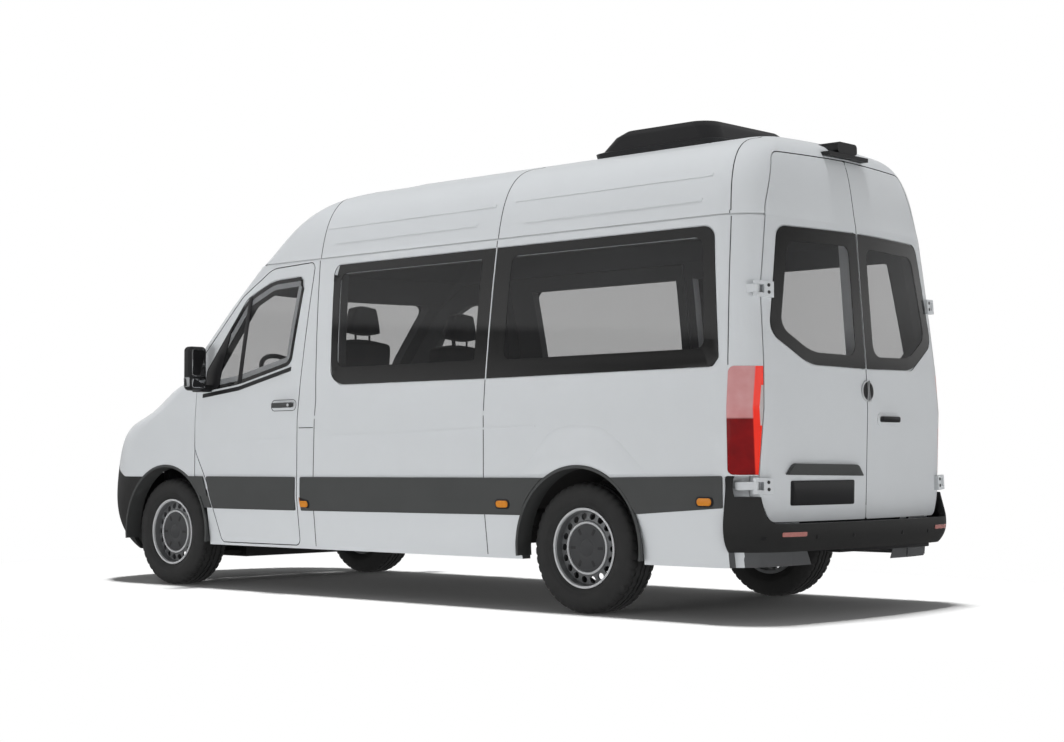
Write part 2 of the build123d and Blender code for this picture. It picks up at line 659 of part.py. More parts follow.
# Roof unit and rear camera
UNIT_X = MID_X - 775
UNIT_LENGTH = 908
UNIT_WIDTH = 908
UNIT_HEIGHT = 160
unit_base = Pos(UNIT_X, 0, ROOF_Z + SEAT_GAP) * RectangleRounded(UNIT_LENGTH - 20, UNIT_WIDTH - 20, 85)
unit_rim = Pos(UNIT_X, 0, ROOF_Z + 36) * RectangleRounded(UNIT_LENGTH, UNIT_WIDTH, 95)
unit_lid = Pos(UNIT_X, 0, ROOF_Z + 48) * RectangleRounded(UNIT_LENGTH - 60, UNIT_WIDTH - 60, 95)
unit_brow = Pos(UNIT_X - 6, 0, ROOF_Z + 128) * RectangleRounded(UNIT_LENGTH - 180, UNIT_WIDTH - 110, 110)
unit_top = Pos(UNIT_X - 14, 0, ROOF_Z + UNIT_HEIGHT) * RectangleRounded(UNIT_LENGTH - 270, UNIT_WIDTH - 170, 110)
roof_unit = loft([unit_base, unit_rim], ruled=True) + loft([unit_rim, unit_lid], ruled=True)
roof_unit += loft([unit_lid, unit_brow], ruled=True) + loft([unit_brow, unit_top], ruled=True)
put(roof_unit, "roof_unit")
pod = slab(BODY_REAR_X + 110, BODY_REAR_X + 240, -95, 95, ROOF_Z - 68, ROOF_Z - 8)
over_roof = dome(-SEAT_GAP)
pod = fillet(pod.edges().filter_by(Axis.X), 22) - over_roof
brake_bar = slab(BODY_REAR_X + 100, BODY_REAR_X + 240, -190, 190, ROOF_Z - 94, ROOF_Z - 72) - over_roof
put(Compound(children=[pod.solids().sort_by(Axis.X)[0], brake_bar.solids().sort_by(Axis.X)[0]]), "camera_pod")

# Floor with wheel tubs
cabin = body(WALL + SEAT_GAP)
DOOR_ROOM = 8
floor = cabin & slab(REAR_AXLE_X, COWL_X - 60, -1500, 1500, FLOOR_Z - FLOOR_THICK, FLOOR_Z)
near_doors = body(WALL + DOOR_ROOM)
floor += near_doors & slab(REAR_X, REAR_AXLE_X, -1500, 1500, FLOOR_Z - FLOOR_THICK, FLOOR_Z)
floor += near_doors & slab(REAR_X, CORNER_X - 20, -860, 860, SILL_Z + 150, FLOOR_Z)
tubs = []
for axle_x, arch in zip((FRONT_AXLE_X, REAR_AXLE_X), arches):
    tub = rod(axle_x, (505 - TUB_SKIN + HALF - 100) / 2, TYRE_RADIUS, ARCH_RADIUS + TUB_SKIN,
              HALF - 100 - 505 + TUB_SKIN, "y")
    tub &= slab(-4000, 4000, -1500, 1500, FLOOR_Z - FLOOR_THICK, 3000)
    tubs.append(tub & cabin)
for tub in tubs:
    floor += tub + flip(tub)
for well in wheel_wells:
    floor -= well + flip(well)
floor = floor & slab(-4000, COWL_X - 60, -1500, 1500, 0, 3000)
put(floor, "floor")
RAIL_Y = 390
RAIL_HALF = 45
RAIL_TOP = FLOOR_Z - FLOOR_THICK - SEAT_GAP
rail = slab(CORNER_X - 20 + SEAT_GAP, BEAM_X - 60 - SEAT_GAP, RAIL_Y - RAIL_HALF, RAIL_Y + RAIL_HALF, RAIL_TOP - 120, RAIL_TOP)
beam = slab(BEAM_X - 60, BEAM_X, -560, 560, RAIL_TOP - 125, RAIL_TOP - 5)
put(Compound(children=[rail.solid(), flip(rail).solid(), beam.solid()]), "frame_rails")

# Running gear
KING_Y = WHEEL_Y - 83
KING_REACH = 150
SPINDLE_RADIUS = 30
SPINDLE_END = WHEEL_Y + 40
BEARING_ROOM = 0.3
arm_low = TYRE_RADIUS - KING_REACH
arm_high = TYRE_RADIUS + KING_REACH
subframe = slab(FRONT_AXLE_X - 190, FRONT_AXLE_X + 190, -470, 470, arm_low - 30, arm_low + 70)
arm_rows = [
    (FRONT_AXLE_X - 150, 440, 20),
    (FRONT_AXLE_X + 150, 440, 20),
    (FRONT_AXLE_X + 36, KING_Y, 20),
    (FRONT_AXLE_X + 36, KING_Y + 34, 30),
    (FRONT_AXLE_X - 36, KING_Y + 34, 30),
    (FRONT_AXLE_X - 36, KING_Y, 20),
]
for z in (arm_low, arm_high):
    arm = plan_prism(arm_rows, z - 14, z + 14)
    subframe += arm + flip(arm)
tower = slab(FRONT_AXLE_X - 150, FRONT_AXLE_X + 150, RAIL_Y + RAIL_HALF + SEAT_GAP, 480, arm_low, FLOOR_Z - FLOOR_THICK - SEAT_GAP)
subframe += tower + flip(tower)
PIN = 14
king_bore = rod(FRONT_AXLE_X, KING_Y, TYRE_RADIUS, PIN + PIN_ROOM, 600, "z")
subframe -= king_bore + flip(king_bore)
put(subframe, "front_subframe")
knuckle = rod(FRONT_AXLE_X, KING_Y, TYRE_RADIUS, 24, 2 * KING_REACH - 28 - 4, "z")
knuckle += rod(FRONT_AXLE_X, KING_Y, TYRE_RADIUS, PIN, 2 * KING_REACH + 30, "z")
knuckle += rod(FRONT_AXLE_X, KING_Y + 26, TYRE_RADIUS, 62, 40, "y")
knuckle += rod(FRONT_AXLE_X, (KING_Y + SPINDLE_END) / 2, TYRE_RADIUS, SPINDLE_RADIUS, SPINDLE_END - KING_Y, "y")
put(knuckle, "left_knuckle")
put(flip(knuckle), "right_knuckle")
axle = rod(REAR_AXLE_X, 0, TYRE_RADIUS, 46, 2 * WHEEL_Y - 150, "y")
axle += rod(REAR_AXLE_X, 0, TYRE_RADIUS, SPINDLE_RADIUS, 2 * SPINDLE_END, "y")
for way in (-1, 1):
    axle += rod(REAR_AXLE_X, way * (WHEEL_Y - 52), TYRE_RADIUS, 135, 36, "y")
put(axle, "rear_axle")
springs = []
SPRING_Y = 590
SPRING_REACH = 640
SPRING_RISE = 110
for way in (-1, 1):
    low = TYRE_RADIUS - 46 - 36 - SEAT_GAP
    bottom = Edge.make_three_point_arc((REAR_AXLE_X - SPRING_REACH, 0, low + SPRING_RISE),
                                       (REAR_AXLE_X, 0, low),
                                       (REAR_AXLE_X + SPRING_REACH, 0, low + SPRING_RISE))
    top = Edge.make_three_point_arc((REAR_AXLE_X - SPRING_REACH, 0, low + SPRING_RISE + 36),
                                    (REAR_AXLE_X, 0, low + 36),
                                    (REAR_AXLE_X + SPRING_REACH, 0, low + SPRING_RISE + 36))
    ends = []
    for sign in (-1, 1):
        ends.append(Edge.make_line((REAR_AXLE_X + sign * SPRING_REACH, 0, low + SPRING_RISE),
                                   (REAR_AXLE_X + sign * SPRING_REACH, 0, low + SPRING_RISE + 36)))
    leaf = Solid.extrude(Face(Wire([bottom, ends[1], top, ends[0]])), Vector(0, 70, 0))
    leaf = Pos(0, way * SPRING_Y - 35, 0) * leaf
    for sign in (-1, 1):
        at_x = REAR_AXLE_X + sign * (SPRING_REACH - 30)
        leaf += slab(at_x - 25, at_x + 25, way * SPRING_Y - 35, way * SPRING_Y + 35,
                     low + SPRING_RISE + 10, FLOOR_Z - FLOOR_THICK - SEAT_GAP)
    springs.append(leaf.solid())
put(Compound(children=springs), "leaf_springs")
put(slab(MID_X + 300, MID_X + 1100, -330, 330, 330, FLOOR_Z - FLOOR_THICK - SEAT_GAP), "fuel_tank")
MUFFLER_RADIUS = 95
muffler_z = FLOOR_Z - FLOOR_THICK - SEAT_GAP - MUFFLER_RADIUS
pipe = rod(MID_X + 270, -545, muffler_z, MUFFLER_RADIUS, 560, "x")
pipe += bar((MID_X + 100, -485, muffler_z), (CORNER_X + 60, -485, muffler_z), 28)
put(pipe, "exhaust")

# Engine, seats, dashboard and steering wheel
engine_half = RAIL_Y - RAIL_HALF - SEAT_GAP
put(slab(FRONT_AXLE_X + 250, FRONT_AXLE_X + 600, -engine_half, engine_half, 430, 1000), "engine")
SEAT_Y = 450
SEAT_X = 615
seat = slab(SEAT_X + 40, SEAT_X + 500, SEAT_Y - 200, SEAT_Y + 200, FLOOR_Z + SEAT_GAP, 900)
cushion = slab(SEAT_X + 20, SEAT_X + 560, SEAT_Y - 255, SEAT_Y + 255, 900, 1050)
seat += fillet(cushion.edges(), 40)
back_rows = [
    (SEAT_X + 60, 930, 30),
    (SEAT_X + 190, 930, 30),
    (SEAT_X + 70, 1600, 50),
    (SEAT_X - 40, 1600, 50),
]
seat += side_prism(back_rows, SEAT_Y - 245, SEAT_Y + 245)
head = slab(SEAT_X - 45, SEAT_X + 55, SEAT_Y - 130, SEAT_Y + 130, 1640, 1825)
seat += fillet(head.edges(), 35)
for way in (-1, 1):
    seat += rod(SEAT_X + 5, SEAT_Y + way * 70, 1620, 8, 120, "z")
put(seat, "driver_seat")
put(flip(seat), "passenger_seat")
WHEEL_X = 1385
STEER_Z = 1400
COLUMN_TILT = 42
COLUMN_RADIUS = 22
column_way = Vector(math.cos(math.radians(COLUMN_TILT)), 0, -math.sin(math.radians(COLUMN_TILT)))
hub = Plane(origin=(WHEEL_X, SEAT_Y, STEER_Z), z_dir=column_way, x_dir=(0, 1, 0))
rim_wheel = hub * Torus(185, 16)
rim_wheel += hub * (Pos(0, 0, 12) * Cylinder(55, 40))
for angle in (0, 180, 270):
    rim_wheel += hub * (Rot(0, 0, angle) * Pos(110, 0, 8) * Box(160, 34, 14))
rim_wheel += hub * (Pos(0, 0, 130) * Cylinder(COLUMN_RADIUS, 220))
put(rim_wheel, "steering_wheel")
dash_rows = [
    (COWL_X + 20, 880, 30),
    (COWL_X + 20, BELT_Z - 30, 40),
    (COWL_X - 420, BELT_Z + 60, 60),
    (COWL_X - 530, BELT_Z - 40, 60),
    (COWL_X - 470, 1000, 40),
    (COWL_X - 330, 880, 30),
]
dash = side_prism(dash_rows, -840, 840)
dash -= hub * (Pos(0, 0, 200) * Cylinder(COLUMN_RADIUS + BEARING_ROOM, 360))
dash -= hub * (Pos(0, 0, 10) * Cylinder(215, 70))
for well in wheel_wells:
    dash -= well + flip(well)
dash &= cabin
put(dash.solids().sort_by(SortBy.VOLUME)[-1], "dashboard")

# Wheels: rim with a ring of vent holes, and tyre
RIM_LIP = 218
BEAD = 203
HUB_FACE = 40
RING_RADIUS = 138
VENT_RING = 173
rim_rows = [
    (SPINDLE_RADIUS + BEARING_ROOM, HUB_FACE - 22),
    (95, HUB_FACE - 22),
    (RING_RADIUS - 12, HUB_FACE + 4),
    (RING_RADIUS + 8, HUB_FACE + 8),
    (BEAD - 10, HUB_FACE - 4),
    (BEAD - 10, -78),
    (BEAD - 3, -94),
    (RIM_LIP, -94),
    (RIM_LIP, -90),
    (BEAD - 0.4, -78),
    (BEAD - 0.4, 78),
    (RIM_LIP, 90),
    (RIM_LIP, 94),
    (RIM_LIP - 11, 94),
    (BEAD - 3, 66),
    (BEAD - 7, HUB_FACE + 8),
    (RING_RADIUS + 12, HUB_FACE + 18),
    (RING_RADIUS + 4, HUB_FACE + 26),
    (RING_RADIUS - 4, HUB_FACE + 26),
    (RING_RADIUS - 8, HUB_FACE + 14),
    (98, HUB_FACE - 6),
    (SPINDLE_RADIUS + BEARING_ROOM, HUB_FACE - 6),
]
tyre_rows = [
    (BEAD, -76),
    (262, -TYRE_WIDTH / 2),
    (TYRE_RADIUS - 26, -TYRE_WIDTH / 2 + 6),
    (TYRE_RADIUS, -TYRE_WIDTH / 2 + 30),
    (TYRE_RADIUS, TYRE_WIDTH / 2 - 30),
    (TYRE_RADIUS - 26, TYRE_WIDTH / 2 - 6),
    (262, TYRE_WIDTH / 2),
    (BEAD, 76),
]
VENT_COUNT = 18
VENT_RADIUS = 19


def turned(rows):
    """Ring turned about the wheel's axis from rows (radius, y)."""
    face = Face(Wire.make_polygon([(r, y, 0) for r, y in rows], close=True))
    return Solid.revolve(face, 360, Axis((0, 0, 0), (0, 1, 0)))


rim = turned(rim_rows)
for i in range(VENT_COUNT):
    rim -= Rot(0, 360 * i / VENT_COUNT, 0) * rod(VENT_RING, HUB_FACE, 0, VENT_RADIUS, 60, "y")
cap = rod(0, HUB_FACE + 19, 0, RING_RADIUS - 7, 8, "y")
cap += rod(0, HUB_FACE + 20, 0, 60, 14, "y")
rim += cap
rim -= rod(0, HUB_FACE - 10, 0, SPINDLE_RADIUS + BEARING_ROOM, 24, "y")
tyre = turned(tyre_rows)
for name, axle_x in (("front", FRONT_AXLE_X), ("rear", REAR_AXLE_X)):
    for side_name, turn in (("left", lambda s: s), ("right", flip)):
        here = Pos(axle_x, WHEEL_Y, TYRE_RADIUS)
        put(turn(here * rim), name + "_" + side_name + "_rim")
        put(turn(here * tyre), name + "_" + side_name + "_tyre")
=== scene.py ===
# %% [markdown]
# A white high-roof van with side panes, twin back doors and a black roof unit. The solids come from CAD
# with their joints. This lesson dresses them: finishes, panes with printed borders, tyres with tread,
# lamps, trim and seats. Everything is in metres, +X forward, +Y to the van's left, +Z up.

# %% Load the frame
import json
import math
import bpy
import bmesh
from mathutils import Matrix, Vector
from mathutils.bvhtree import BVHTree


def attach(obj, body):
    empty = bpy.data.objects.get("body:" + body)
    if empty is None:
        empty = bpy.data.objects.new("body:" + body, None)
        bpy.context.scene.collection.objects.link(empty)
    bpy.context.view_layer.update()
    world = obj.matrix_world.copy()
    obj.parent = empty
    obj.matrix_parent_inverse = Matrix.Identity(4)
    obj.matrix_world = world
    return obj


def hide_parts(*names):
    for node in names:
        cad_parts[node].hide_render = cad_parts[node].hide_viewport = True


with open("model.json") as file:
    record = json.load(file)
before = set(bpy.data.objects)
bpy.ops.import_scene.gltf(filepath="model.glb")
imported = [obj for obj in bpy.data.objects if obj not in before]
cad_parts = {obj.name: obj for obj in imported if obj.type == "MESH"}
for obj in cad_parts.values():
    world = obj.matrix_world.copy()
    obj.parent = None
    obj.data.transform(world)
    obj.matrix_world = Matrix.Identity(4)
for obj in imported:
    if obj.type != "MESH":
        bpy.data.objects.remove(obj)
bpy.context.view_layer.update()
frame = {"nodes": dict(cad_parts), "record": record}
nodes = frame["nodes"]

# %% [markdown]
# No real finish is perfectly even. An image could show that, but a procedural finish needs no file: two
# close colours mixed by a slow noise, and a fine noise for the grain that the light catches. Both read
# Object coordinates, which stay with the piece when a door opens. One helper makes every plain finish.

# %% Plain finish helpers
GRAIN_DEPTH = 0.001


def mixed(tree, factor, first, second, kind="RGBA"):
    mix = tree.nodes.new("ShaderNodeMix")
    mix.data_type = kind
    tree.links.new(factor, mix.inputs["Factor"])
    for socket, value in (("A", first), ("B", second)):
        if isinstance(value, tuple):
            mix.inputs[socket].default_value = (*value, 1)
        elif isinstance(value, float):
            mix.inputs[socket].default_value = value
        else:
            tree.links.new(value, mix.inputs[socket])
    return mix.outputs["Result"]


def finish(name, first, second, rough, cloud=4.0, grain=300.0, bump=0.0, **sockets):
    material = bpy.data.materials.new(name)
    material.use_nodes = True
    tree = material.node_tree
    shader = tree.nodes["Principled BSDF"]
    place = tree.nodes.new("ShaderNodeTexCoord")
    slow = tree.nodes.new("ShaderNodeTexNoise")
    slow.inputs["Scale"].default_value = cloud
    tree.links.new(place.outputs["Object"], slow.inputs["Vector"])
    tree.links.new(mixed(tree, slow.outputs["Fac"], first, second), shader.inputs["Base Color"])
    shader.inputs["Roughness"].default_value = rough
    if bump:
        fine = tree.nodes.new("ShaderNodeTexNoise")
        fine.inputs["Scale"].default_value = grain
        relief = tree.nodes.new("ShaderNodeBump")
        relief.inputs["Strength"].default_value = bump
        relief.inputs["Distance"].default_value = GRAIN_DEPTH
        tree.links.new(place.outputs["Object"], fine.inputs["Vector"])
        tree.links.new(fine.outputs["Fac"], relief.inputs["Height"])
        tree.links.new(relief.outputs["Normal"], shader.inputs["Normal"])
    for socket, value in sockets.items():
        shader.inputs[socket.replace("_", " ")].default_value = value
    return material


print("finish helpers ready")

# %% Paint, plastics and rubber
PAINT = ((0.525, 0.545, 0.562), (0.545, 0.565, 0.582))
PAINT_ROUGH = 0.38
PAINT_SHEEN = {"bump": 0.012, "grain": 700.0, "Coat_Weight": 0.2, "Coat_Roughness": 0.10}
MOULDED_GRAIN = 900.0
paint = finish("body_paint", *PAINT, PAINT_ROUGH, **PAINT_SHEEN)
dark_plastic = finish("grained_dark_plastic", (0.046, 0.048, 0.048), (0.056, 0.058, 0.058), 0.55,
                      grain=MOULDED_GRAIN, bump=0.12)
bumper_plastic = finish("grained_bumper_plastic", (0.012, 0.012, 0.012), (0.017, 0.017, 0.017), 0.5,
                        grain=MOULDED_GRAIN, bump=0.12)
black_plastic = finish("satin_black_plastic", (0.007, 0.007, 0.008), (0.011, 0.011, 0.012), 0.42,
                       grain=MOULDED_GRAIN, bump=0.06)
cap_grey = finish("wheel_cap_grey", (0.036, 0.037, 0.039), (0.046, 0.047, 0.049), 0.45, bump=0.05)
trim_grey = finish("inside_trim_grey", (0.030, 0.030, 0.032), (0.042, 0.042, 0.044), 0.7, bump=0.08)
plate_black = finish("bare_plate_black", (0.010, 0.010, 0.011), (0.014, 0.014, 0.015), 0.35, bump=0.03)
# Painted shade: strips and marks in this finish stand for the shadow inside gaps, slots and recess edges; the
# strap bolts use it too.
shut_line = finish("shut_line_shadow", (0.020, 0.020, 0.021), (0.034, 0.034, 0.035), 0.7)
rubber = finish("tyre_rubber", (0.017, 0.017, 0.017), (0.025, 0.025, 0.025), 0.62, cloud=14.0,
                grain=500.0, bump=0.12)
seat_cloth = finish("woven_seat_cloth", (0.022, 0.022, 0.024), (0.036, 0.036, 0.039), 0.9, cloud=30.0,
                    grain=1200.0, bump=0.4, Sheen_Weight=0.2)
print("finishes so far:", len(bpy.data.materials))

# %% Metals, glass and lenses
chassis = finish("chassis_coat", (0.014, 0.014, 0.015), (0.022, 0.021, 0.020), 0.65, cloud=9.0, bump=0.15)
cast_metal = finish("cast_metal", (0.12, 0.12, 0.125), (0.18, 0.18, 0.185), 0.5, cloud=12.0, bump=0.2,
                    Metallic=0.8)
wheel_silver = finish("wheel_silver", (0.17, 0.175, 0.18), (0.21, 0.215, 0.22), 0.38, cloud=8.0, bump=0.02,
                      Metallic=0.6)
bright_metal = finish("bright_ring", (0.50, 0.51, 0.52), (0.58, 0.59, 0.60), 0.30, Metallic=0.3)
mirror_silver = finish("mirror_silver", (0.55, 0.56, 0.57), (0.60, 0.61, 0.62), 0.03, Metallic=1.0)
frit = finish("pane_border_black", (0.006, 0.006, 0.006), (0.009, 0.009, 0.009), 0.04)
pane_tint = finish("pane_tint", (0.008, 0.008, 0.009), (0.012, 0.012, 0.013), 0.02, Alpha=0.25,
                   Specular_IOR_Level=1.0)
clear_lens = finish("clear_lens", (0.80, 0.82, 0.84), (0.86, 0.88, 0.90), 0.04, Transmission_Weight=0.7)
amber_lens = finish("amber_lens", (0.50, 0.17, 0.012), (0.60, 0.22, 0.016), 0.2, cloud=60.0, Coat_Weight=0.6)
reflector_red = finish("reflector_red", (0.30, 0.11, 0.10), (0.42, 0.17, 0.15), 0.25, cloud=80.0,
                       grain=350.0, bump=0.3, Coat_Weight=0.8)
print("finishes:", len(bpy.data.materials))

# %% [markdown]
# The panels are painted outside and lined with dark trim inside. Two materials on sorted faces would do it,
# but one CAD solid holds both faces and stays untouched, so the finish decides by which way a face looks:
# towards the middle of the cabin it is trim, away from it paint. Faces that look down, and low ends that
# look back under the bumper, take the same dark colour as the trim.

# %% Paint outside, trim inside
CABIN_MIDDLE = (-0.3, 0, 1.45)
CABIN_STRETCH = (0.3, 1, 1)
LINING = (0.075, 0.077, 0.080)
LINING_ROUGH = 0.75
LOOKS_DOWN = -0.6
LOOKS_BACK = -0.7
UNDER_BUMPER = 0.47


def math_node(tree, kind, operation, source, value):
    node = tree.nodes.new("ShaderNode" + kind)
    node.operation = operation
    tree.links.new(source, node.inputs[0])
    if isinstance(value, (float, tuple)):
        node.inputs[1].default_value = value
    else:
        tree.links.new(value, node.inputs[1])
    return node.outputs


def lined(material):
    tree = material.node_tree
    shader = tree.nodes["Principled BSDF"]
    place = next(n for n in tree.nodes if n.type == "TEX_COORD")

    def compare(source, operation, value):
        return math_node(tree, "Math", operation, source, value)[0]

    def axes(source):
        node = tree.nodes.new("ShaderNodeSeparateXYZ")
        tree.links.new(source, node.inputs["Vector"])
        return node.outputs

    away = math_node(tree, "VectorMath", "SUBTRACT", place.outputs["Object"], CABIN_MIDDLE)[0]
    scaled = math_node(tree, "VectorMath", "MULTIPLY", away, CABIN_STRETCH)[0]
    facing = math_node(tree, "VectorMath", "DOT_PRODUCT", scaled, place.outputs["Normal"])["Value"]
    normal = axes(place.outputs["Normal"])
    # Faces looking down, and low faces looking back, take the lining colour as well.
    inward = compare(facing, "LESS_THAN", 0.0)
    downward = compare(normal["Z"], "LESS_THAN", LOOKS_DOWN)
    backward = compare(normal["X"], "LESS_THAN", LOOKS_BACK)
    low = compare(axes(place.outputs["Object"])["Z"], "LESS_THAN", UNDER_BUMPER)
    low_end = compare(backward, "MULTIPLY", low)
    inside = compare(compare(inward, "MAXIMUM", downward), "MAXIMUM", low_end)
    painted = shader.inputs["Base Color"].links[0].from_socket
    tree.links.new(mixed(tree, inside, painted, LINING), shader.inputs["Base Color"])
    for socket, inner in (("Coat Weight", 0.0), ("Roughness", LINING_ROUGH)):
        swing = tree.nodes.new("ShaderNodeMapRange")
        swing.inputs["To Min"].default_value = shader.inputs[socket].default_value
        swing.inputs["To Max"].default_value = inner
        tree.links.new(inside, swing.inputs["Value"])
        tree.links.new(swing.outputs["Result"], shader.inputs[socket])


panel_paint = finish("panel_paint_lined", *PAINT, PAINT_ROUGH, **PAINT_SHEEN)
lined(panel_paint)
LINED_NODES = ("left_wall", "right_wall", "sliding_door", "roof", "cab_frame", "left_door", "right_door",
               "rear_left_door", "rear_right_door")
print("lined panels:", len(LINED_NODES))

# %% [markdown]
# The tail lamp is one red lens with several chambers behind it: a dull upper field, a dark lower field, a
# bright band down the rear edge and a clear strip for the reversing light in it. The chambers could be
# modelled behind clear plastic, but at this size they only show as colour, so they are painted by place:
# steps on height and along the van, in Object coordinates.

# %% Tail lamp steps


def stepped(tree, source, span, first, second):
    step = tree.nodes.new("ShaderNodeMapRange")
    step.interpolation_type = "SMOOTHSTEP"
    step.inputs["From Min"].default_value = span[0]
    step.inputs["From Max"].default_value = span[1]
    tree.links.new(source, step.inputs["Value"])
    return mixed(tree, step.outputs["Result"], first, second)


print("lens step ready")

# %% Tail lamp lens
FIELD_SPLIT_Z = (1.035, 1.045)
BAND_X = (-2.800, -2.795)
CLEAR_STRIP_X = (-2.818, -2.816)
CLEAR_STRIP_TOP_Z = (1.205, 1.210)
CLEAR_STRIP_FOOT_Z = (1.005, 1.000)
BAND_RED = (0.85, 0.035, 0.018)
CLEAR_STRIP = (0.44, 0.40, 0.40)
tail_lens = bpy.data.materials.new("tail_lens")
tail_lens.use_nodes = True
lens_tree = tail_lens.node_tree
lens_place = lens_tree.nodes.new("ShaderNodeTexCoord")
lens_axes = lens_tree.nodes.new("ShaderNodeSeparateXYZ")
lens_tree.links.new(lens_place.outputs["Object"], lens_axes.inputs["Vector"])
lens_ripple = lens_tree.nodes.new("ShaderNodeTexNoise")
lens_ripple.inputs["Scale"].default_value = 14.0
lens_tree.links.new(lens_place.outputs["Object"], lens_ripple.inputs["Vector"])
ripple = lens_ripple.outputs["Fac"]
along = lens_axes.outputs["X"]
height = lens_axes.outputs["Z"]
dull = mixed(lens_tree, ripple, (0.46, 0.18, 0.18), (0.56, 0.30, 0.30))
deep = mixed(lens_tree, ripple, (0.10, 0.002, 0.003), (0.26, 0.004, 0.005))
field = stepped(lens_tree, height, FIELD_SPLIT_Z, deep, dull)
rear_band = stepped(lens_tree, along, CLEAR_STRIP_X, CLEAR_STRIP, BAND_RED)
rear_band = stepped(lens_tree, height, CLEAR_STRIP_TOP_Z, rear_band, BAND_RED)
rear_band = stepped(lens_tree, height, CLEAR_STRIP_FOOT_Z, rear_band, BAND_RED)
colour = stepped(lens_tree, along, BAND_X, rear_band, field)
lens_shader = lens_tree.nodes["Principled BSDF"]
lens_tree.links.new(colour, lens_shader.inputs["Base Color"])
lens_shader.inputs["Roughness"].default_value = 0.08
lens_shader.inputs["Coat Weight"].default_value = 0.5
lens_shader.inputs["Coat Roughness"].default_value = 0.02
print("tail lens chambers: clear strip, band, upper field, lower field")

# %% [markdown]
# Each CAD node takes the finish of its material slot. The mesh of a CAD node is loose triangles, which would
# shade flat. Editing it is not wanted, so a Weld modifier joins the triangles and a small geometry node group
# then shades smoothly across gentle edges and keeps real corners sharp.

# %% Soft shading for CAD meshes
GENTLE_ANGLE = math.radians(26)
soften = bpy.data.node_groups.new("soften_gentle_edges", "GeometryNodeTree")
soften.interface.new_socket("Geometry", in_out="INPUT", socket_type="NodeSocketGeometry")
soften.interface.new_socket("Geometry", in_out="OUTPUT", socket_type="NodeSocketGeometry")
group_in = soften.nodes.new("NodeGroupInput")
group_out = soften.nodes.new("NodeGroupOutput")
edge_angle = soften.nodes.new("GeometryNodeInputMeshEdgeAngle")
gentle = soften.nodes.new("FunctionNodeCompare")
gentle.operation = "LESS_THAN"
gentle.inputs["B"].default_value = GENTLE_ANGLE
soft_edges = soften.nodes.new("GeometryNodeSetShadeSmooth")
soft_edges.domain = "EDGE"
soft_faces = soften.nodes.new("GeometryNodeSetShadeSmooth")
soften.links.new(edge_angle.outputs["Unsigned Angle"], gentle.inputs["A"])
soften.links.new(group_in.outputs[0], soft_edges.inputs["Geometry"])
soften.links.new(gentle.outputs["Result"], soft_edges.inputs["Shade Smooth"])
soften.links.new(soft_edges.outputs["Geometry"], soft_faces.inputs["Geometry"])
soften.links.new(soft_faces.outputs["Geometry"], group_out.inputs[0])
print("soft shading group:", len(soften.nodes), "nodes")

# %% Finishes on the CAD nodes
WELD_REACH = 0.00002
slot_finish = {
    "body_paint": paint,
    "dark_plastic": dark_plastic,
    "black_plastic": black_plastic,
    "lamp_red": tail_lens,
    "lamp_clear": clear_lens,
    "wheel_steel": wheel_silver,
    "tyre_rubber": rubber,
    "dark_metal": chassis,
    "bare_metal": cast_metal,
    "dark_glass": pane_tint,
    "seat_cloth": trim_grey,
}
node_finish = {name: panel_paint for name in LINED_NODES}
node_finish["rear_bumper"] = bumper_plastic
node_finish["front_bumper"] = bumper_plastic

for entry in frame["record"]["subparts"]:
    node = nodes[entry["node"]]
    node.data.materials.clear()
    node.data.materials.append(node_finish.get(entry["node"], slot_finish[entry["material_slot"]]))
    weld = node.modifiers.new("weld", "WELD")
    weld.merge_threshold = WELD_REACH
    node.modifiers.new("soften", "NODES").node_group = soften

# %% [markdown]
# Most added pieces lie on the CAD surface: trim, seams, lamps, plates. Modelling each in place by eye would
# be slow and would leave gaps. Instead a piece is drawn flat, beside the van, and every vertex is dropped
# along a direction until it meets a CAD node. A Solidify modifier then gives the thickness.

# %% From a bmesh to a piece


def piece(name, bm, body, *finishes, sharp=35):
    mesh = bpy.data.meshes.new(name)
    bm.normal_update()
    bm.to_mesh(mesh)
    bm.free()
    mesh.shade_smooth()
    mesh.set_sharp_from_angle(angle=math.radians(sharp))
    for entry in finishes:
        mesh.materials.append(entry)
    obj = bpy.data.objects.new(name, mesh)
    bpy.context.collection.objects.link(obj)
    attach(obj, body)
    return obj


def thicken(obj, depth, edge=0.0):
    wall = obj.modifiers.new("thickness", "SOLIDIFY")
    wall.thickness = depth
    wall.offset = -1
    if edge:
        soft = obj.modifiers.new("edge", "BEVEL")
        soft.width = edge
        soft.segments = 2
        soft.limit_method = "ANGLE"
    obj.modifiers.new("soften", "NODES").node_group = soften
    return obj


print("piece helpers ready")

# %% Drawing flat and laying on a surface
BESIDE = 1.3
BEHIND = -3.2
RAY_RUN = 1.5


def from_side(side):
    return (lambda u, v: (u, side * BESIDE, v)), (0, -side, 0)


def from_behind(side, start=BEHIND):
    return (lambda u, v: (start, side * u, v)), (1, 0, 0)


def from_front(start):
    return (lambda u, v: (start, u, v)), (-1, 0, 0)


def skin(*names):
    bm = bmesh.new()
    for name in names:
        bm.from_mesh(nodes[name].data)
    tree = BVHTree.FromBMesh(bm)
    bm.free()
    return tree


def lay(verts, tree, way, lift):
    way = Vector(way).normalized()
    for vert in verts:
        hit = tree.ray_cast(vert.co - way * RAY_RUN, way)[0]
        if hit is None:
            hit = tree.find_nearest(vert.co)[0]
        vert.co = hit - way * lift


def face_out(bm, way):
    bm.normal_update()
    if sum(f.normal.dot(Vector(way)) * f.calc_area() for f in bm.faces) > 0:
        bmesh.ops.reverse_faces(bm, faces=bm.faces)


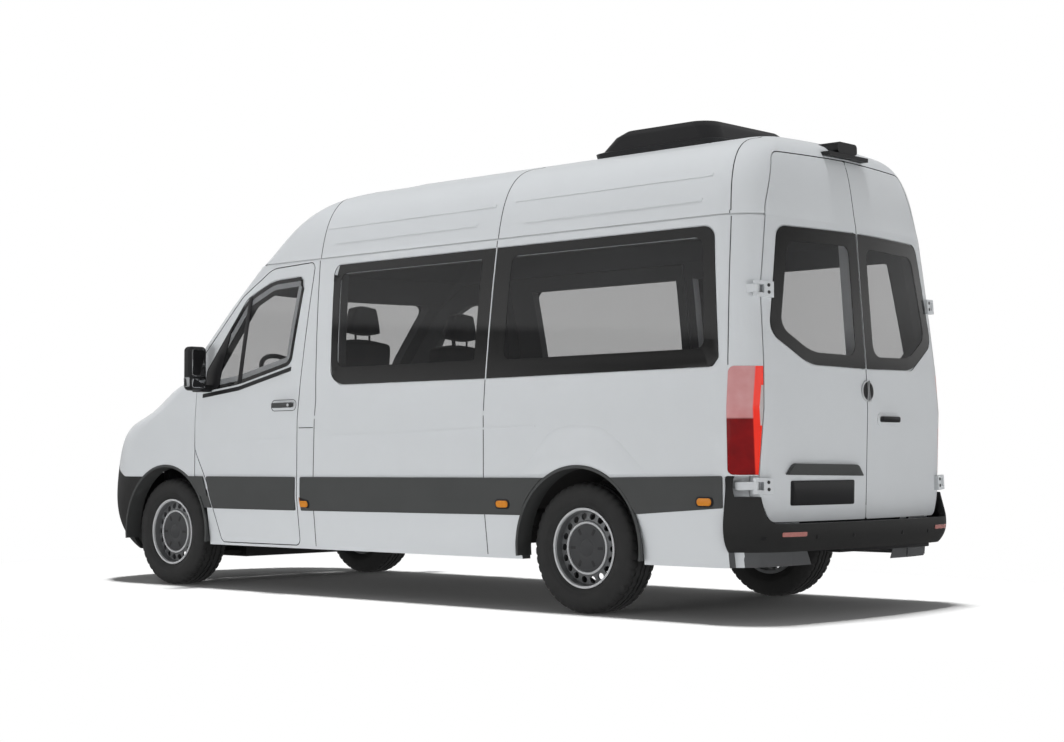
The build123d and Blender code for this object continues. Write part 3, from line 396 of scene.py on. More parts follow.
def outline_face(bm, corners, flat):
    verts = [bm.verts.new(flat(u, v)) for u, v, cut in corners]
    bm.faces.new(verts)
    for vert, (u, v, cut) in zip(verts, corners):
        if cut:
            bmesh.ops.bevel(bm, geom=[vert], offset=cut, offset_type="OFFSET", affect="VERTICES", segments=6,
                            profile=0.5, material=-1)


def oblong(u0, u1, v0, v1, cut):
    return [(u0, v0, cut), (u1, v0, cut), (u1, v1, cut), (u0, v1, cut)]


def cut_across(bm, cuts):
    for axis, start, stop, count in cuts:
        normal = Vector((0, 0, 0))
        normal[axis] = 1
        for i in range(1, count):
            bmesh.ops.bisect_plane(bm, geom=bm.verts[:] + bm.edges[:] + bm.faces[:],
                                   plane_co=normal * (start + (stop - start) * i / count), plane_no=normal)


print("drawing helpers ready")

# %% Patches and strips
BLACK = (black_plastic, "black_plastic")
DARK = (dark_plastic, "dark_plastic")
PAINTED = (paint, "body_paint")
GAP_SHADE = (shut_line, "dark_plastic")
SIDES = ((1, "left"), (-1, "right"))


def patch(name, body, corners, view, tree, look, lift, cuts=(), sunk=0.003, edge=0.001):
    flat, way = view
    bm = bmesh.new()
    outline_face(bm, corners, flat)
    cut_across(bm, cuts)
    lay(bm.verts, tree, way, lift)
    face_out(bm, way)
    obj = thicken(piece(name, bm, body, look[0]), lift + sunk, edge)


def strip(name, body, line, across, way, tree, look, lift, cuts=12, sunk=0.001):
    bm = bmesh.new()
    verts = [bm.verts.new(p) for p in line]
    edges = [bm.edges.new(pair) for pair in zip(verts, verts[1:])]
    bmesh.ops.subdivide_edges(bm, edges=edges, cuts=cuts)
    grown = bmesh.ops.extrude_edge_only(bm, edges=bm.edges[:])["geom"]
    bmesh.ops.translate(bm, vec=across, verts=[v for v in grown if isinstance(v, bmesh.types.BMVert)])
    lay(bm.verts, tree, way, lift)
    face_out(bm, way)
    obj = thicken(piece(name, bm, body, look[0]), lift + sunk)


print("patch and strip ready")

# %% [markdown]
# A bonded pane is dark glass with a black printed border that hides the glue. An inset of the edge would make
# a border of one width, but the printed one differs from side to side, so two outlines are drawn: the edge of
# the glass and the edge of the clear middle, each with corners rounded by a vertex bevel. A triangle fill
# between the two loops makes the border, and cuts across let the sheet bend onto the CAD pane.

# %% One pane
GLASS = 0.004


def pane(name, body, replaced, outlines, view, cuts, lift=0.0, beside=()):
    flat, way = view
    tree = skin(replaced, *beside)
    bm = bmesh.new()
    for edge, clear in outlines:
        part = bmesh.new()
        outline_face(part, edge, flat)
        bmesh.ops.delete(part, geom=part.faces[:], context="FACES_ONLY")
        outline_face(part, clear, flat)
        middle = part.faces[:][0]
        bmesh.ops.triangle_fill(part, use_beauty=True, edges=part.edges[:])
        for ring in part.faces:
            ring.material_index = 1 if ring is middle else 0
        bmesh.ops.recalc_face_normals(part, faces=part.faces)
        cut_across(part, cuts)
        lay(part.verts, tree, way, lift)
        face_out(part, way)
        holder = bpy.data.meshes.new("holder")
        part.to_mesh(holder)
        part.free()
        bm.from_mesh(holder)
        bpy.data.meshes.remove(holder)
    obj = thicken(piece(name, bm, body, frit, pane_tint), GLASS)
    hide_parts(replaced)


print("pane helper ready")

# %% Pane outlines
FRONT_PANE = [(0.381, 2.041, 0.06), (0.316, 1.346, 0.03), (0.222, 1.292, 0.03), (-1.001, 1.292, 0),
              (-1.001, 2.041, 0)]
FRONT_CLEAR = [(0.318, 1.985, 0.06), (0.270, 1.400, 0.06), (-0.905, 1.400, 0.02), (-0.905, 1.985, 0.02)]
REAR_PANE = [(-1.015, 2.041, 0), (-1.015, 1.292, 0), (-2.646, 1.304, 0.06), (-2.556, 2.040, 0.07)]
REAR_CLEAR = [(-1.135, 1.985, 0.05), (-1.135, 1.395, 0.05), (-2.550, 1.400, 0.05), (-2.490, 1.985, 0.06)]
DOOR_PANE = [(0.646, 1.993, 0.05), (0.706, 1.433, 0.05), (1.21, 1.322, 0.05), (1.560, 1.284, 0.03),
             (1.549, 1.42, 0.03), (1.2, 1.881, 0.08), (0.962, 1.981, 0.06)]
DOOR_CLEAR = [(0.672, 1.968, 0.04), (0.727, 1.452, 0.04), (1.213, 1.346, 0.04), (1.536, 1.310, 0.02),
              (1.526, 1.413, 0.02), (1.186, 1.862, 0.07), (0.957, 1.957, 0.05)]
BACK_PANE = [(0.006, 2.048, 0.008), (0.674, 2.040, 0.06), (0.788, 1.480, 0.07), (0.498, 1.322, 0.07),
             (0.006, 1.314, 0.008)]
BACK_CLEAR = [(0.085, 1.972, 0.05), (0.606, 1.965, 0.05), (0.704, 1.512, 0.06), (0.478, 1.388, 0.07),
              (0.085, 1.382, 0.07)]
SCREEN = [(-0.898, 1.337, 0.04), (0.898, 1.337, 0.04), (0.82, 1.981, 0.08), (-0.82, 1.981, 0.08)]
SCREEN_CLEAR = [(-0.853, 1.377, 0.04), (0.853, 1.377, 0.04), (0.785, 1.941, 0.08), (-0.785, 1.941, 0.08)]
print("pane outlines: 5 edges and 5 clear middles")

# %% All panes
SIDE_LEVELS = [(2, 1.29, 2.05, 10)]
SCREEN_CUTS = [(2, 1.33, 1.99, 10), (1, -0.9, 0.9, 18)]
SCREEN_START = 2.4
BACK_LIFT = 0.001
for side, word in SIDES:
    view = from_side(side)
    pane(word + "_long_panes", "hull", word + "_panes", [(FRONT_PANE, FRONT_CLEAR), (REAR_PANE, REAR_CLEAR)],
         view, SIDE_LEVELS)
    pane(word + "_door_glass", word + "_front_door", word + "_door_pane", [(DOOR_PANE, DOOR_CLEAR)], view,
         SIDE_LEVELS)
    back_cuts = [(2, 1.30, 2.06, 10), (1, 0, side * 0.80, 9)]
    pane(word + "_back_glass", word + "_back_door", "rear_" + word + "_pane", [(BACK_PANE, BACK_CLEAR)],
         from_behind(side), back_cuts, BACK_LIFT, ("rear_" + word + "_door",))
pane("windscreen_glass", "hull", "windscreen", [(SCREEN, SCREEN_CLEAR)], from_front(SCREEN_START),
     SCREEN_CUTS)
print("panes: long, door, back and windscreen")

# %% [markdown]
# The front door's glass is split by an upright bar, and its front corner is a black sail that carries the
# mirror. A black seal runs along the sill under the glass. They could be cut into the pane as more borders,
# but thin patches on the glass and the door skin keep each piece simple to move.

# %% Door glass bars and seals
DOOR_BAR = [(1.155, 1.898, 0), (1.186, 1.332, 0), (1.222, 1.324, 0), (1.190, 1.880, 0)]
SAIL = [(1.330, 1.708, 0.004), (1.398, 1.418, 0.01), (1.415, 1.315, 0.01), (1.553, 1.287, 0.01),
        (1.545, 1.415, 0.01)]
SILL = [(0.700, 1.418), (1.205, 1.308), (1.575, 1.268)]
SEAL_DROP = (0, 0, -0.026)
for side, word in SIDES:
    view = from_side(side)
    flat, inward = view
    body = word + "_front_door"
    glass = skin(word + "_door_pane")
    patch(word + "_door_bar", body, DOOR_BAR, view, glass, BLACK, lift=0.003, cuts=SIDE_LEVELS)
    patch(word + "_door_sail", body, SAIL, view, glass, BLACK, lift=0.0025, cuts=SIDE_LEVELS)
    sill_line = [flat(x, z) for x, z in SILL]
    strip(word + "_door_sill_seal", body, sill_line, SEAL_DROP, inward, skin(word + "_door"), BLACK,
          lift=0.004)
print("door bars, sails and seals: 2 each")

# %% [markdown]
# A tyre is a ring of rubber with a raised rib on its wall, a rounded shoulder and a tread with four grooves.
# A torus would miss the flat tread, so half of its section is drawn, mirrored and spun into a ring. Pushing
# some steps of the shoulder in leaves the cross grooves between the tread blocks, and a small zigzag sets
# the middle ribs apart.

# %% Ring by spin
WHEEL_AT = {"front": 1.962, "rear": -1.703}
WHEEL_Y = 0.858
TYRE_R = 0.354
WHEELS = [(end + "_" + word, x, side) for end, x in WHEEL_AT.items() for side, word in SIDES]


def spun_ring(rows, steps):
    bm = bmesh.new()
    verts = [bm.verts.new((r, y, 0)) for r, y in rows]
    edges = [bm.edges.new(pair) for pair in zip(verts, verts[1:])]
    bmesh.ops.spin(bm, geom=verts + edges, cent=(0, 0, 0), axis=(0, 1, 0), angle=math.tau, steps=steps,
                   use_merge=True)
    bmesh.ops.remove_doubles(bm, verts=bm.verts, dist=0.00001)
    return bm


def to_axle(bm, x, side):
    bmesh.ops.recalc_face_normals(bm, faces=bm.faces)
    bmesh.ops.translate(bm, vec=(x, side * WHEEL_Y, TYRE_R), verts=bm.verts)
    return bm


print("wheels at x:", WHEEL_AT)

# %% Tyres
TYRE_PROFILE = [
    (0.2045, 0.078), (0.222, 0.092), (0.232, 0.101), (0.240, 0.106), (0.246, 0.1075), (0.252, 0.1125),
    (0.262, 0.1165), (0.272, 0.1175), (0.286, 0.117), (0.302, 0.1155), (0.318, 0.112), (0.334, 0.105),
    (0.345, 0.097), (0.351, 0.086), (0.3535, 0.074), (0.354, 0.064), (0.347, 0.062), (0.347, 0.055),
    (0.354, 0.053), (0.354, 0.022), (0.347, 0.020), (0.347, 0.012), (0.354, 0.010),
]
TREAD_STEPS = 168
BLOCK_STEPS = 4
SHOULDER_R = 0.333
SHOULDER_Y = 0.060
GROOVE_DEPTH = 0.007
RIB_R = 0.3465
RIB_Y = 0.056
RIB_WAVE = 0.0022


def tyre(name, body, x, side):
    bm = spun_ring(TYRE_PROFILE + [(r, -y) for r, y in reversed(TYRE_PROFILE)], TREAD_STEPS)
    for vert in bm.verts:
        radius = math.hypot(vert.co.x, vert.co.z)
        step = round(math.atan2(vert.co.z, vert.co.x) / math.tau * TREAD_STEPS) % BLOCK_STEPS
        reach = abs(vert.co.y)
        groove_step = 0 if vert.co.y > 0 else BLOCK_STEPS // 2
        if radius > SHOULDER_R and reach > SHOULDER_Y and step == groove_step:
            factor = (radius - GROOVE_DEPTH) / radius
            vert.co.x *= factor
            vert.co.z *= factor
        if radius > RIB_R and reach < RIB_Y:
            vert.co.y += RIB_WAVE * (1 if step < BLOCK_STEPS // 2 else -1)
    obj = piece(name, to_axle(bm, x, side), body, rubber, sharp=40)
    return obj


for start, x, side in WHEELS:
    ring = tyre(start + "_tread", start + "_wheel", x, side)
    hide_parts(start + "_tyre")
print("tyres: 4, steps round each:", TREAD_STEPS)

# %% [markdown]
# The steel wheel comes from CAD with its vent holes. Its dark plastic cap, the bright ring round the cap and
# the bright edge of the rim are turned parts. Bevelled cylinders could stand for them, but one short profile
# spun round the axle gives every step and rounding at once. Six dark slots in the cap's face are painted
# shade: flat dark bars where the cap has openings.

# %% Wheel caps and rings
CAP_ROWS = [(0.0, 0.0715), (0.038, 0.0715), (0.042, 0.0700), (0.045, 0.0683), (0.050, 0.0683),
            (0.053, 0.0695), (0.082, 0.0690), (0.112, 0.0678), (0.122, 0.0665), (0.1285, 0.0640),
            (0.1305, 0.0600), (0.1305, 0.0560), (0.0, 0.0560)]
RING_ROWS = [(0.1318, 0.0580), (0.1322, 0.0670), (0.1345, 0.0692), (0.1405, 0.0692), (0.1440, 0.0660),
             (0.1445, 0.0580), (0.1318, 0.0580)]
RIM_EDGE_ROWS = [(0.2030, 0.0840), (0.2062, 0.0950), (0.2110, 0.0962), (0.2172, 0.0956), (0.2185, 0.0930),
                 (0.2180, 0.0900), (0.2030, 0.0840)]
TURN_STEPS = 96
TURNED = (
    ("_cap", CAP_ROWS, cap_grey, "black_plastic"),
    ("_cap_ring", RING_ROWS, bright_metal, "wheel_steel"),
    ("_rim_edge", RIM_EDGE_ROWS, bright_metal, "wheel_steel"),
)
SLOT_COUNT = 6
SLOT_SIZE = (0.034, 0.0026, 0.015)
SLOT_AT = (0.097, 0.0685, 0)


# Painted shade: dark bars nearly flush with the cap stand for the shadow in its slots.
def cap_slots():
    bm = bmesh.new()
    for i in range(SLOT_COUNT):
        bar = bmesh.ops.create_cube(bm, size=1)["verts"]
        bmesh.ops.scale(bm, vec=SLOT_SIZE, verts=bar)
        bmesh.ops.translate(bm, vec=SLOT_AT, verts=bar)
        turn = Matrix.Rotation(math.tau * i / SLOT_COUNT, 3, "Y")
        bmesh.ops.rotate(bm, cent=(0, 0, 0), matrix=turn, verts=bar)
    return bm


def wheel_piece(name, bm, x, side, wheel, material):
    bmesh.ops.scale(bm, vec=(1, side, 1), verts=bm.verts)
    piece(name, to_axle(bm, x, side), wheel, material)


for start, x, side in WHEELS:
    wheel = start + "_wheel"
    for ending, rows, material, slot in TURNED:
        wheel_piece(start + ending, spun_ring(rows, TURN_STEPS), x, side, wheel, material)
    wheel_piece(start + "_cap_slots", cap_slots(), x, side, wheel, shut_line)
print("caps, rings, rim edges and slots: 4 each")

# %% [markdown]
# Round each arch runs a dark moulded lip with a liner behind it. It could be cut out of a cylinder, but one
# small closed profile spun over half a turn and a little more about the axle makes lip and liner in one go,
# and it covers the raw edge of the painted panel. Behind the front wheel a small flat foot of the same
# plastic carries the strip on from the lip to the door.

# %% Arch lips
ARCH_R = 0.436
LIP_START = -0.12
LIP_STEPS = 56
LIP_ROWS = [(-0.004, 0.900), (-0.004, 1.0125), (0.010, 1.0135), (0.013, 1.0115), (0.013, 1.002),
            (-0.001, 1.002), (-0.001, 0.900)]
ARCH_FOOT = [(1.514, 0.640, 0), (1.476, 0.522, 0), (1.548, 0.522, 0), (1.602, 0.628, 0)]
FOOT_Y = 1.0065
for start, x, side in WHEELS:
    bm = bmesh.new()
    verts = []
    for grow, y in LIP_ROWS:
        r = ARCH_R + grow
        verts.append(bm.verts.new((r * math.cos(LIP_START), y, r * math.sin(LIP_START))))
    start_face = bm.faces.new(verts)
    bmesh.ops.spin(bm, geom=[start_face] + start_face.edges[:] + verts, cent=(0, 0, 0), axis=(0, -1, 0),
                   angle=math.pi - 2 * LIP_START, steps=LIP_STEPS)
    bmesh.ops.scale(bm, vec=(1, side, 1), verts=bm.verts)
    bmesh.ops.recalc_face_normals(bm, faces=bm.faces)
    bmesh.ops.translate(bm, vec=(x, 0, TYRE_R), verts=bm.verts)
    piece(start + "_arch_lip", bm, "hull", dark_plastic)
for side, word in SIDES:
    bm = bmesh.new()
    outline_face(bm, ARCH_FOOT, lambda u, v: (u, side * FOOT_Y, v))
    face_out(bm, (0, -side, 0))
    thicken(piece(word + "_arch_foot", bm, "hull", dark_plastic), 0.012)
print("arch lips: 4, with 2 feet behind the front wheels")

# %% [markdown]
# The rear wing has a pressed bulge that rises from the side strip over the arch. Displacing the CAD panel is
# not wanted, so the bulge is one outline with an inset: the outer edge lies just under the panel and the
# inner edge stands out a little, so that the light turns softly round it.

# %% Pressed bulges over the rear arches
BULGE = [(-1.285, 0.745, 0), (-1.400, 0.880, 0.03), (-1.500, 0.985, 0.05), (-1.640, 1.020, 0.04),
         (-1.860, 1.015, 0.04), (-1.985, 0.945, 0.05), (-2.200, 0.752, 0), (-1.911, 0.752, 0),
         (-1.819, 0.788, 0), (-1.703, 0.803, 0), (-1.587, 0.788, 0), (-1.495, 0.752, 0)]
BULGE_SLOPE = 0.030
BULGE_RISE = 0.0065
BULGE_SINK = 0.0008
for side, word in SIDES:
    flat, inward = from_side(side)
    bm = bmesh.new()
    outline_face(bm, BULGE, flat)
    middle = bm.faces[:][0]
    bmesh.ops.inset_region(bm, faces=[middle], thickness=BULGE_SLOPE, use_boundary=True, use_even_offset=True)
    raised = set(middle.verts)
    wall = skin(word + "_wall")
    lay([v for v in bm.verts if v in raised], wall, inward, BULGE_RISE)
    lay([v for v in bm.verts if v not in raised], wall, inward, -BULGE_SINK)
    face_out(bm, inward)
    piece(word + "_arch_bulge", bm, "hull", paint, sharp=60)
print("bulges: 2")

# %% [markdown]
# Thin dark lines mark where panels meet: the roof's cross seams, the body seams, the corner post seam and the
# fuel flap. Real gaps cut into the mesh would be finer than its triangles, so each is a narrow strip laid on
# the panel, dark with the painted shade of the gap. Pressed ribs are wider strips in the body's own paint.

# %% Roof and post seams
roof_skin = skin("roof")
# Painted shade: each seam is a dark strip standing for the shadow in the gap.
SEAM_WIDE = (0.005, 0, 0)
ROOF_SEAMS = ((0.520, 0.0), (-1.014, 0.0), (-2.600, 0.05))
POST_SEAM = ((-2.650, 2.082), (-2.672, 1.70), (-2.694, 1.310))
for side, word in SIDES:
    flat, inward = from_side(side)
    down_roof = (0, -side * 0.55, -0.83)
    for i, (x, lean) in enumerate(ROOF_SEAMS):
        line = [(x - lean, side * 0.90, 2.098), (x, side * 0.74, 2.42), (x + lean, side * 0.42, 2.545)]
        strip(word + "_roof_seam_" + str(i), "hull", line, SEAM_WIDE, down_roof, roof_skin, GAP_SHADE,
              lift=0.0012, cuts=16)
    line = [flat(x, z) for x, z in POST_SEAM]
    strip(word + "_post_seam", "hull", line, (0.004, 0, 0), inward, skin(word + "_wall"), GAP_SHADE, lift=0.001)
print("roof seams: 6, post seams: 2")

# %% Ribs
ROOF_RIBS = ((0.50, -0.95, 2.282), (0.40, -0.83, 2.180), (-1.10, -2.50, 2.304), (-1.20, -2.46, 2.172))
RIB_FALL = 0.006
RIB_CUTS = 20
for side, word in SIDES:
    flat, inward = from_side(side)
    for i, (x0, x1, z) in enumerate(ROOF_RIBS):
        line = [flat(x0, z), flat(x1, z + RIB_FALL)]
        strip(word + "_roof_rib_" + str(i), "hull", line, (0, 0, 0.014), inward, roof_skin, PAINTED,
              lift=0.0024, cuts=RIB_CUTS)
    line = [flat(1.500, 0.938), flat(0.625, 0.962)]
    strip(word + "_door_rib", word + "_front_door", line, (0, 0, 0.012), inward, skin(word + "_door"),
          PAINTED, lift=0.0022)
print("roof ribs: 8, door ribs: 2")

# %% Left side seams
left_wall = skin("left_wall")
flat, inward = from_side(1)
# Painted shade: each seam is a dark strip standing for the shadow in the gap.
LEFT_SEAMS = (
    ("front", ((0.525, 2.082), (0.440, 1.205), (0.468, 0.300)), SEAM_WIDE),
    ("middle", ((-1.008, 1.286), (-1.006, 0.300)), SEAM_WIDE),
    ("top", ((-1.010, 2.084), (-1.010, 2.046)), SEAM_WIDE),
    ("fuel_flap", ((0.460, 1.030), (0.592, 1.030)), (0, 0, 0.005)),
)
for name, points, across in LEFT_SEAMS:
    line = [flat(x, z) for x, z in points]
    strip("left_seam_" + name, "hull", line, across, inward, left_wall, GAP_SHADE, lift=0.001)
line = [flat(0.40, 0.968), flat(-1.40, 1.012)]
strip("left_side_rib", "hull", line, (0, 0, 0.012), inward, left_wall, PAINTED, lift=0.0022, cuts=RIB_CUTS)
print("left seams:", len(LEFT_SEAMS), "and one rib")

# %% [markdown]
# Amber side markers sit in the dark strip. Each real one is a small lens clipped into a black base, so it is
# two oval patches here, the larger one lower. Two patches show the dark rim that one lens would miss.

# %% Side markers
strip_skin = skin("side_strips")
AMBER = (amber_lens, "lamp_red")
FRONT_MARKER_X = {1: 0.545, -1: 0.380}


def oval(u, v, wide, tall, cut):
    return oblong(u - wide, u + wide, v - tall, v + tall, cut)


for side, word in SIDES:
    view = from_side(side)
    for i, (x, z) in enumerate(((FRONT_MARKER_X[side], 0.560), (-1.156, 0.585), (-2.570, 0.616))):
        base = oval(x, z, 0.056, 0.027, 0.024)
        lens = oval(x, z, 0.044, 0.019, 0.017)
        patch(word + "_marker_base_" + str(i), "hull", base, view, strip_skin, BLACK, lift=0.003)
        patch(word + "_marker_" + str(i), "hull", lens, view, strip_skin, AMBER, lift=0.007)
print("markers: 6")

# %% [markdown]
# Door handles stand in shallow cups. The handle comes from CAD. The cup's edge could be pressed into the
# door, but a thin dark oval line, painted shade where the recess edge would be, reads the same and leaves
# the solid alone. A bright lock dot ends the handle. Each mirror has two glasses facing back and a clear
# indicator lens on its outer side.

# %% Door handles
CUP = oblong(0.625, 0.868, 1.140, 1.212, 0.034)
CUP_LINE = 0.004
BRIGHT = (bright_metal, "bare_metal")
LOCK_DOT = oblong(0.654, 0.672, 1.167, 1.185, 0.008)
for side, word in SIDES:
    view = from_side(side)
    flat, inward = view
    body = word + "_front_door"
    # Painted shade: the cup edge is a thin dark oval standing for the shadow round the recess.
    bm = bmesh.new()
    outline_face(bm, CUP, flat)
    hollow = bm.faces[:][0]
    bmesh.ops.inset_region(bm, faces=[hollow], thickness=CUP_LINE, use_boundary=True, use_even_offset=True)
    bmesh.ops.delete(bm, geom=[hollow], context="FACES")
    lay(bm.verts, skin(word + "_door"), inward, 0.0008)
    face_out(bm, inward)
    thicken(piece(word + "_handle_cup_shade_line", bm, body, shut_line), 0.0016)
    patch(word + "_lock_dot", body, LOCK_DOT, view, skin(word + "_door_trim"), BRIGHT, lift=0.002)
print("handle cups and lock dots: 2 each")

# %% Mirrors
HIGH_GLASS = oblong(1.050, 1.158, 1.378, 1.556, 0.016)
LOW_GLASS = oblong(1.050, 1.158, 1.304, 1.364, 0.014)
INDICATOR = oblong(1.492, 1.556, 1.310, 1.372, 0.012)
SILVERED = (mirror_silver, "dark_glass")
CLEAR = (clear_lens, "lamp_clear")
MIRROR_START = 1.3
for side, word in SIDES:
    body = word + "_front_door"
    case = skin(word + "_mirror")
    back = from_behind(side, MIRROR_START)
    patch(word + "_mirror_glass_high", body, HIGH_GLASS, back, case, SILVERED, lift=0.002)
    patch(word + "_mirror_glass_low", body, LOW_GLASS, back, case, SILVERED, lift=0.002)
    patch(word + "_mirror_indicator", body, INDICATOR, from_side(side), case, CLEAR, lift=0.003)
print("mirror glasses and indicators: 2 sides")

# %% [markdown]
# The left back door carries a bare number plate under a lamp hood. Boxes would float on the curved door, so
# all three are patches on its skin: the plate on a slightly larger frame, and the hood standing further out
# with a soft edge.

# %% Plate and plate lamp hood
back_skin = {"left": skin("rear_left_door"), "right": skin("rear_right_door")}
behind = from_behind(1)
PLATE_CUTS = [(1, 0.05, 0.70, 7)]
PLATE_FRAME = oblong(0.122, 0.652, 0.594, 0.722, 0.01)
PLATE = oblong(0.132, 0.642, 0.603, 0.713, 0.008)
PLATE_HOOD = [(0.058, 0.742, 0.01), (0.696, 0.752, 0.01), (0.646, 0.810, 0.02), (0.108, 0.802, 0.02)]
BARE = (plate_black, "black_plastic")
carrier = "left_back_door"
patch("plate_frame", carrier, PLATE_FRAME, behind, back_skin["left"], BLACK, lift=0.006, cuts=PLATE_CUTS)
patch("plate_bare", carrier, PLATE, behind, back_skin["left"], BARE, lift=0.009, cuts=PLATE_CUTS)
patch("plate_lamp_hood", carrier, PLATE_HOOD, behind, back_skin["left"], DARK, lift=0.024, cuts=PLATE_CUTS,
      edge=0.006)
print("plate, frame and hood")

# %% [markdown]
# A plain round cap sits where the back doors meet. It opens with them, so the door gap splits it. A full disc
# would tear when one door opens: here a circle is cut by a plane on each side of the gap, and an inset makes
# its bright edge.

# %% Round cap on the back doors
CAP_R = 0.056
CAP_Z = 1.195
CAP_EDGE = 0.006
HALF_GAP = 0.0045
flat_to_back = Matrix.Rotation(math.pi / 2, 3, "Y")


def disc(radius, place):
    bm = bmesh.new()
    bmesh.ops.create_circle(bm, cap_ends=True, segments=64, radius=radius)
    bmesh.ops.rotate(bm, cent=(0, 0, 0), matrix=flat_to_back, verts=bm.verts)
    bmesh.ops.translate(bm, vec=place, verts=bm.verts)
    return bm


for side, word in SIDES:
    way = from_behind(side)[1]
    bm = disc(CAP_R, (BEHIND, 0, CAP_Z))
    bmesh.ops.bisect_plane(bm, geom=bm.verts[:] + bm.edges[:] + bm.faces[:], plane_co=(0, side * HALF_GAP, 0),
                           plane_no=(0, side, 0), clear_inner=True)
    face = bm.faces[:][0]
    bmesh.ops.inset_region(bm, faces=[face], thickness=CAP_EDGE, use_boundary=True, use_even_offset=True)
    for ring in bm.faces:
        ring.material_index = 1 if ring is face else 0
    lay(bm.verts, back_skin[word], way, 0.010)
    face_out(bm, way)
    cap = piece(word + "_round_cap", bm, word + "_back_door", bright_metal, black_plastic)
    thicken(cap, 0.013, 0.0015)
print("round cap: 2 halves")

# %% [markdown]
# Small parts finish the rear: bolts in the hinge straps, reflectors and parking sensors in the bumper. They
# could be turned bolts and moulded lenses, but at a few millimetres high a rounded patch shows the same.

# %% Bolts, reflectors and sensors
bumper = skin("rear_bumper")
BOLTS = ((0.838, 0.680), (0.838, 0.716), (0.787, 1.684), (0.787, 1.720))
REFLECTOR = oblong(0.630, 0.800, 0.440, 0.463, 0.006)
SENSOR_Y = (0.24, 0.545, 0.885)
SENSOR_Z = 0.434
DARK_BOLT = (shut_line, "bare_metal")
RED = (reflector_red, "lamp_red")
for side, word in SIDES:
    view = from_behind(side)
    straps = skin("rear_" + word + "_straps")
    for i, (y, z) in enumerate(BOLTS):
        bolt = oval(y, z, 0.009, 0.009, 0.0088)
        patch(word + "_strap_bolt_" + str(i), word + "_back_door", bolt, view, straps, DARK_BOLT, lift=0.003)
    reflector_cuts = [(1, side * 0.62, side * 0.81, 6)]
    patch(word + "_reflector", "hull", REFLECTOR, view, bumper, RED, lift=0.004, cuts=reflector_cuts)
    for i, y in enumerate(SENSOR_Y):
        sensor = oval(y, SENSOR_Z, 0.012, 0.012, 0.0118)
        patch(word + "_sensor_" + str(i), "hull", sensor, view, bumper, BLACK, lift=0.002)
print("bolts: 8, reflectors: 2, sensors: 6")

# %% [markdown]
# The right back door has the outer handle in its cup: two patches, the handle standing further out. Under the
# bumper a plain step lip runs along the right part, a cube scaled to a bar with its edges bevelled.

# %% Back handle and step lip
right_behind = from_behind(-1)
HANDLE_CUP = oblong(0.098, 0.335, 1.008, 1.082, 0.035)
HANDLE = oblong(0.125, 0.310, 1.030, 1.062, 0.014)
STEP_SIZE = (0.09, 0.90, 0.022)
STEP_AT = (-2.835, -0.20, 0.353)
patch("back_handle_cup", "right_back_door", HANDLE_CUP, right_behind, back_skin["right"], PAINTED, lift=0.003)
patch("back_handle", "right_back_door", HANDLE, right_behind, back_skin["right"], BLACK, lift=0.026,
      edge=0.004)
bm = bmesh.new()
tread = bmesh.ops.create_cube(bm, size=1)["verts"]
bmesh.ops.scale(bm, vec=STEP_SIZE, verts=tread)
bmesh.ops.translate(bm, vec=STEP_AT, verts=tread)
bmesh.ops.bevel(bm, geom=bm.edges[:], offset=0.006, affect="EDGES", segments=2, profile=0.5, material=-1)
piece("under_bumper_lip", bm, "hull", black_plastic)
print("back handle and step lip")

# %% [markdown]
# Wipers rest at the foot of the windscreen. Arms and blades could be built link by link, but from outside the
# blade is what shows, so each is a narrow strip laid just off the glass. The nose carries a plain round cap.

# %% Wipers and nose cap
screen = skin("windscreen")
WIPERS = ((0.62, -0.02), (-0.06, -0.70))
NOSE_CAP_R = 0.085
NOSE_CAP_AT = (3.4, 0, 0.905)
flat, backward = from_front(SCREEN_START)
for i, (y0, y1) in enumerate(WIPERS):
    line = [flat(y0, 1.352), flat(y1, 1.385)]
    strip("wiper_blade_" + str(i), "hull", line, (0, 0, 0.016), backward, screen, BLACK, lift=0.014, cuts=10)
bm = disc(NOSE_CAP_R, NOSE_CAP_AT)
lay(bm.verts, skin("grille", "front_bumper"), backward, 0.004)
face_out(bm, backward)
thicken(piece("nose_cap", bm, "hull", black_plastic), 0.02, 0.002)
print("wipers and nose cap")

# %% [markdown]
# A seat is foam under cloth. A cloth simulation could settle the cover, but the form is firm and known, so
# each pad starts as a cube cut into a grid. Its faces are crowned and its sides pulled in between the
# corners, two sewn channels are pressed into the face, and a subdivision surface rounds it all.

# %% Seat pad helper
PAD_CUTS = 7
CROWN = 0.10
CHANNEL_AT = 0.5
CHANNEL_WIDE = 0.10
CHANNEL_DEEP = 0.07
OUTER_FACE = 0.9


